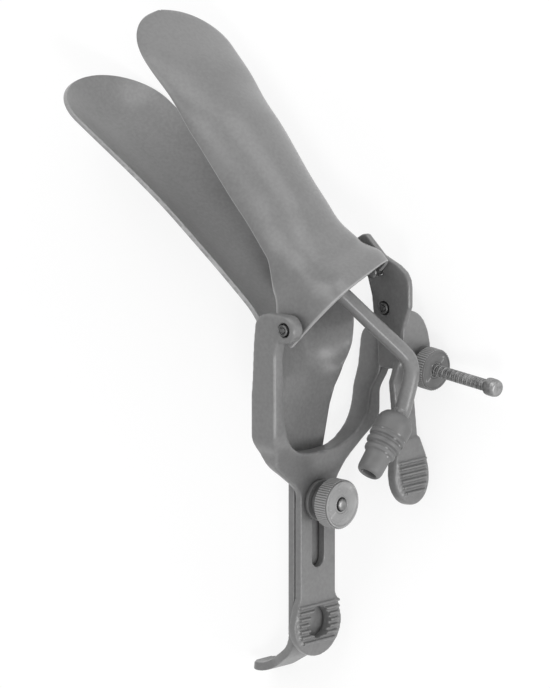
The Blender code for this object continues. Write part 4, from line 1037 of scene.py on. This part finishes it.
rivet = rivetLook["radius"]
rivetHead = rivet * 1.8
length = rivetLook["tailLength"]
for nodeName, side in (("blade_rivet_left", -1), ("blade_rivet_right", 1)):
    start = Vector((side * rivetLook["tailSpread"], rivetLook["tailFrom"], rivetLook["tailHeight"]))
    made = makeRivet(nodeName.replace("_", ""), start, front, [
        (0, 0), (0, rivet), (length, rivet), (length, rivetHead), (length + 0.4 * mm, rivetHead * 0.92),
        (length + 0.85 * mm, rivetHead * 0.55), (length + 1.0 * mm, 0)])
    fit(made, nodeName, "handle", pinSteel)
for nodeName, place in zip(("lever_rivet_rear", "lever_rivet_front"), rivetLook["leverPlaces"]):
    start = upperPoint(rivetLook["leverFrom"], place, rivetLook["leverHeight"])
    made = makeRivet(nodeName.replace("_", ""), start, right, [
        (-0.5 * mm, 0), (-0.4 * mm, rivet * 0.9), (0, rivet * 1.5), (0.3 * mm, rivet * 1.5), (0.3 * mm, rivet),
        (rivetLook["leverLength"], rivet), (rivetLook["leverLength"], 0)])
    fit(made, nodeName, "upper", steel)

studLook = {"radius": 2.0 * mm, "core": 1.8 * mm, "rearPast": 0.4 * mm, "headAt": 14.4 * mm, "head": 3.6 * mm,
            "headHeight": 1.4 * mm, "slot": 0.8 * mm, "slotDepth": 0.6 * mm, "pitch": 0.7 * mm, "thread": 0.19 * mm}
studStart = clampAt - front * studLook["rearPast"]
shank = studLook["headAt"] - studStart.y
headEnd = shank + studLook["headHeight"]
core = studLook["core"]
stud = lathe("clampStud", softProfile([
    (0.0, 0), (0.0, core * 0.55), (0.25 * mm, core * 0.95), (0.7 * mm, core), (shank - 3 * mm, core),
    (shank - 2.6 * mm, studLook["radius"]), (shank, studLook["radius"]), (shank, studLook["head"]),
    (headEnd - 0.5 * mm, studLook["head"]), (headEnd, 2.9 * mm), (headEnd, 0)], 0.3 * mm),
    studStart, front, 48)
thread = grown("studThread", {"length": shank - 4.4 * mm, "pitch": studLook["pitch"], "radius": core,
                              "wire": studLook["thread"]}, steel, threadWire)
thread.data.transform(frameOf(studStart + front * 0.8 * mm, right, front.cross(right)))
stud = joined("clampStud", [stud, thread])
sliced(stud, studStart + front * headEnd, front, right, studLook["slot"], studLook["slotDepth"], 4.2 * mm)
fit(smoothed(stud, 40), "clamp_stud", "handle", steel)

washerLook = {"rear": 7.5 * mm, "thick": 1.2 * mm, "bore": 2.3 * mm, "radius": 6.0 * mm}
bore, rim, thick = washerLook["bore"], washerLook["radius"], washerLook["thick"]
washer = lathe("clampWasher", softProfile([
    (0, bore), (0, rim), (thick, rim), (thick, bore), (0.05 * mm, bore)], 0.35 * mm),
    Vector((0, washerLook["rear"], clampAt.z)), front, 72)
fit(smoothed(washer, 50), "clamp_washer", "handle", nylon)

guide = cadCopy("slideGuide", "slide_guide")
softened(guide, 0.25 * mm)
fit(smoothed(flatten(guide)), "slide_guide", "handle", steel)
print("fasteners made")


# Smoke tube and hose connector

tubeLook = {"radius": 2.4 * mm, "bore": 1.7 * mm, "skin": 0.12 * mm, "sides": 36, "steps": 7, "under": 0.6 * mm,
            "front": 80 * mm, "stride": 6.5 * mm, "stops": 9, "turnAt": (-1.2 * mm, 17 * mm, 8.0 * mm),
            "start": Vector((7.7, -15.4, -27.6)) * mm, "end": Vector((-5.6, -15.6, -42.3)) * mm,
            "corner": Vector((14.1, -15.6, -13.5)) * mm, "leave": Vector((0, -1.4, 6.2)) * mm}


def tubeLine(look):
    # Under the blade's ridge, out at the back, down, and into the connector
    start, corner, leave = look["start"], look["corner"], look["leave"]
    along = (look["end"] - start).normalized()
    outward = (corner - leave).normalized()
    downward = (start - corner).normalized()
    drop = sheet / 2 + look["under"] + look["radius"]
    ridge = [*ridgeLine, (upperBlade["length"], ridgeTip)]
    stops = [look["front"] - look["stride"] * k for k in range(look["stops"])]
    return [upperPoint(0, stop, eased(ridge, stop) - drop) for stop in stops] + [
        upperPoint(*look["turnAt"]), leave - outward * 5 * mm, leave, leave + outward * 12 * mm,
        corner - outward * 4.2 * mm, corner + (downward - outward) * 1.3 * mm, corner + downward * 4.2 * mm,
        start - along * 2.5 * mm, start - along * 0.2 * mm, start + along * 2.2 * mm]


def curveThrough(points, steps):
    ends = [points[0] * 2 - points[1], *points, points[-1] * 2 - points[-2]]
    path = []
    for a, b, c, d in zip(ends, ends[1:], ends[2:], ends[3:]):
        for k in range(steps):
            t = k / steps
            path.append((b * 2 + (c - a) * t + (a * 2 - b * 5 + c * 4 - d) * t * t
                         + (b * 3 - a - c * 3 + d) * t ** 3) / 2)
    return [*path, points[-1]]


def makeTube(look):
    path = curveThrough(tubeLine(look), look["steps"])
    side = (path[1] - path[0]).orthogonal().normalized()
    frames = []
    for i, point in enumerate(path):
        ahead = (path[min(i + 1, len(path) - 1)] - path[max(i - 1, 0)]).normalized()
        side = (side - ahead * side.dot(ahead)).normalized()
        frames.append((point, ahead, side, ahead.cross(side)))
    # Rings along the outside, round the end, and back along the bore
    radius, bore, skin = look["radius"], look["bore"], look["skin"]
    first, last, between = frames[0], frames[-1], frames[1:-1]
    stops = [(first, radius - skin, 0), (first, radius, skin), *[(spot, radius, 0) for spot in between],
             (last, radius, -skin), (last, radius - skin, 0), (last, bore + skin, 0), (last, bore, -skin),
             *[(spot, bore, 0) for spot in reversed(between)], (first, bore, skin), (first, bore + skin, 0)]
    turns = [2 * math.pi * k / look["sides"] for k in range(look["sides"])]
    bm = bmesh.new()
    rings = []
    for (point, ahead, one, two), reach, shift in stops:
        rings.append([bm.verts.new(point + ahead * shift + (one * math.cos(t) + two * math.sin(t)) * reach)
                      for t in turns])
    for low, high in zip(rings, rings[1:] + rings[:1]):
        for k in range(look["sides"]):
            m = (k + 1) % look["sides"]
            bm.faces.new((low[k], low[m], high[m], high[k]))
    bmesh.ops.recalc_face_normals(bm, faces=bm.faces)
    return smoothed(newObject("smokeTube", bm), 60)


fit(makeTube(tubeLook), "smoke_tube", "upper", coating)

connectorLook = {"length": 20 * mm, "radius": 5.5 * mm, "clearance": 0.2 * mm}


def makeConnector(look):
    r, length = look["radius"], look["length"]
    bore = tubeLook["radius"] + look["clearance"]
    profile = softProfile([
        (0.0, bore), (0.0, r * 0.58), (0.7 * mm, r * 0.78), (1.8 * mm, r * 0.92), (3.2 * mm, r),
        (6.6 * mm, r * 0.99), (6.8 * mm, r * 0.95), (7.2 * mm, r * 0.95), (7.4 * mm, r * 0.99),
        (8.3 * mm, r * 0.98), (8.6 * mm, r * 0.86), (9.3 * mm, r * 0.86), (9.6 * mm, r * 0.96),
        (10.7 * mm, r * 0.94), (11.0 * mm, r * 0.79), (11.7 * mm, r * 0.79), (12.0 * mm, r * 0.86),
        (13.1 * mm, r * 0.84), (13.4 * mm, r * 0.72), (14.2 * mm, r * 0.7), (length - 1.4 * mm, r * 0.68),
        (length - 0.5 * mm, r * 0.63), (length, r * 0.54), (length, r * 0.46), (length - 0.5 * mm, r * 0.42),
        (3.0 * mm, r * 0.42), (3.0 * mm, bore), (0.2 * mm, bore)], 0.28 * mm)
    along = (tubeLook["end"] - tubeLook["start"]).normalized()
    return smoothed(lathe("hoseConnector", profile, tubeLook["start"], along, 80), 55)


fit(makeConnector(connectorLook), "hose_connector", "upper", nylon)
print("tube and connector made")
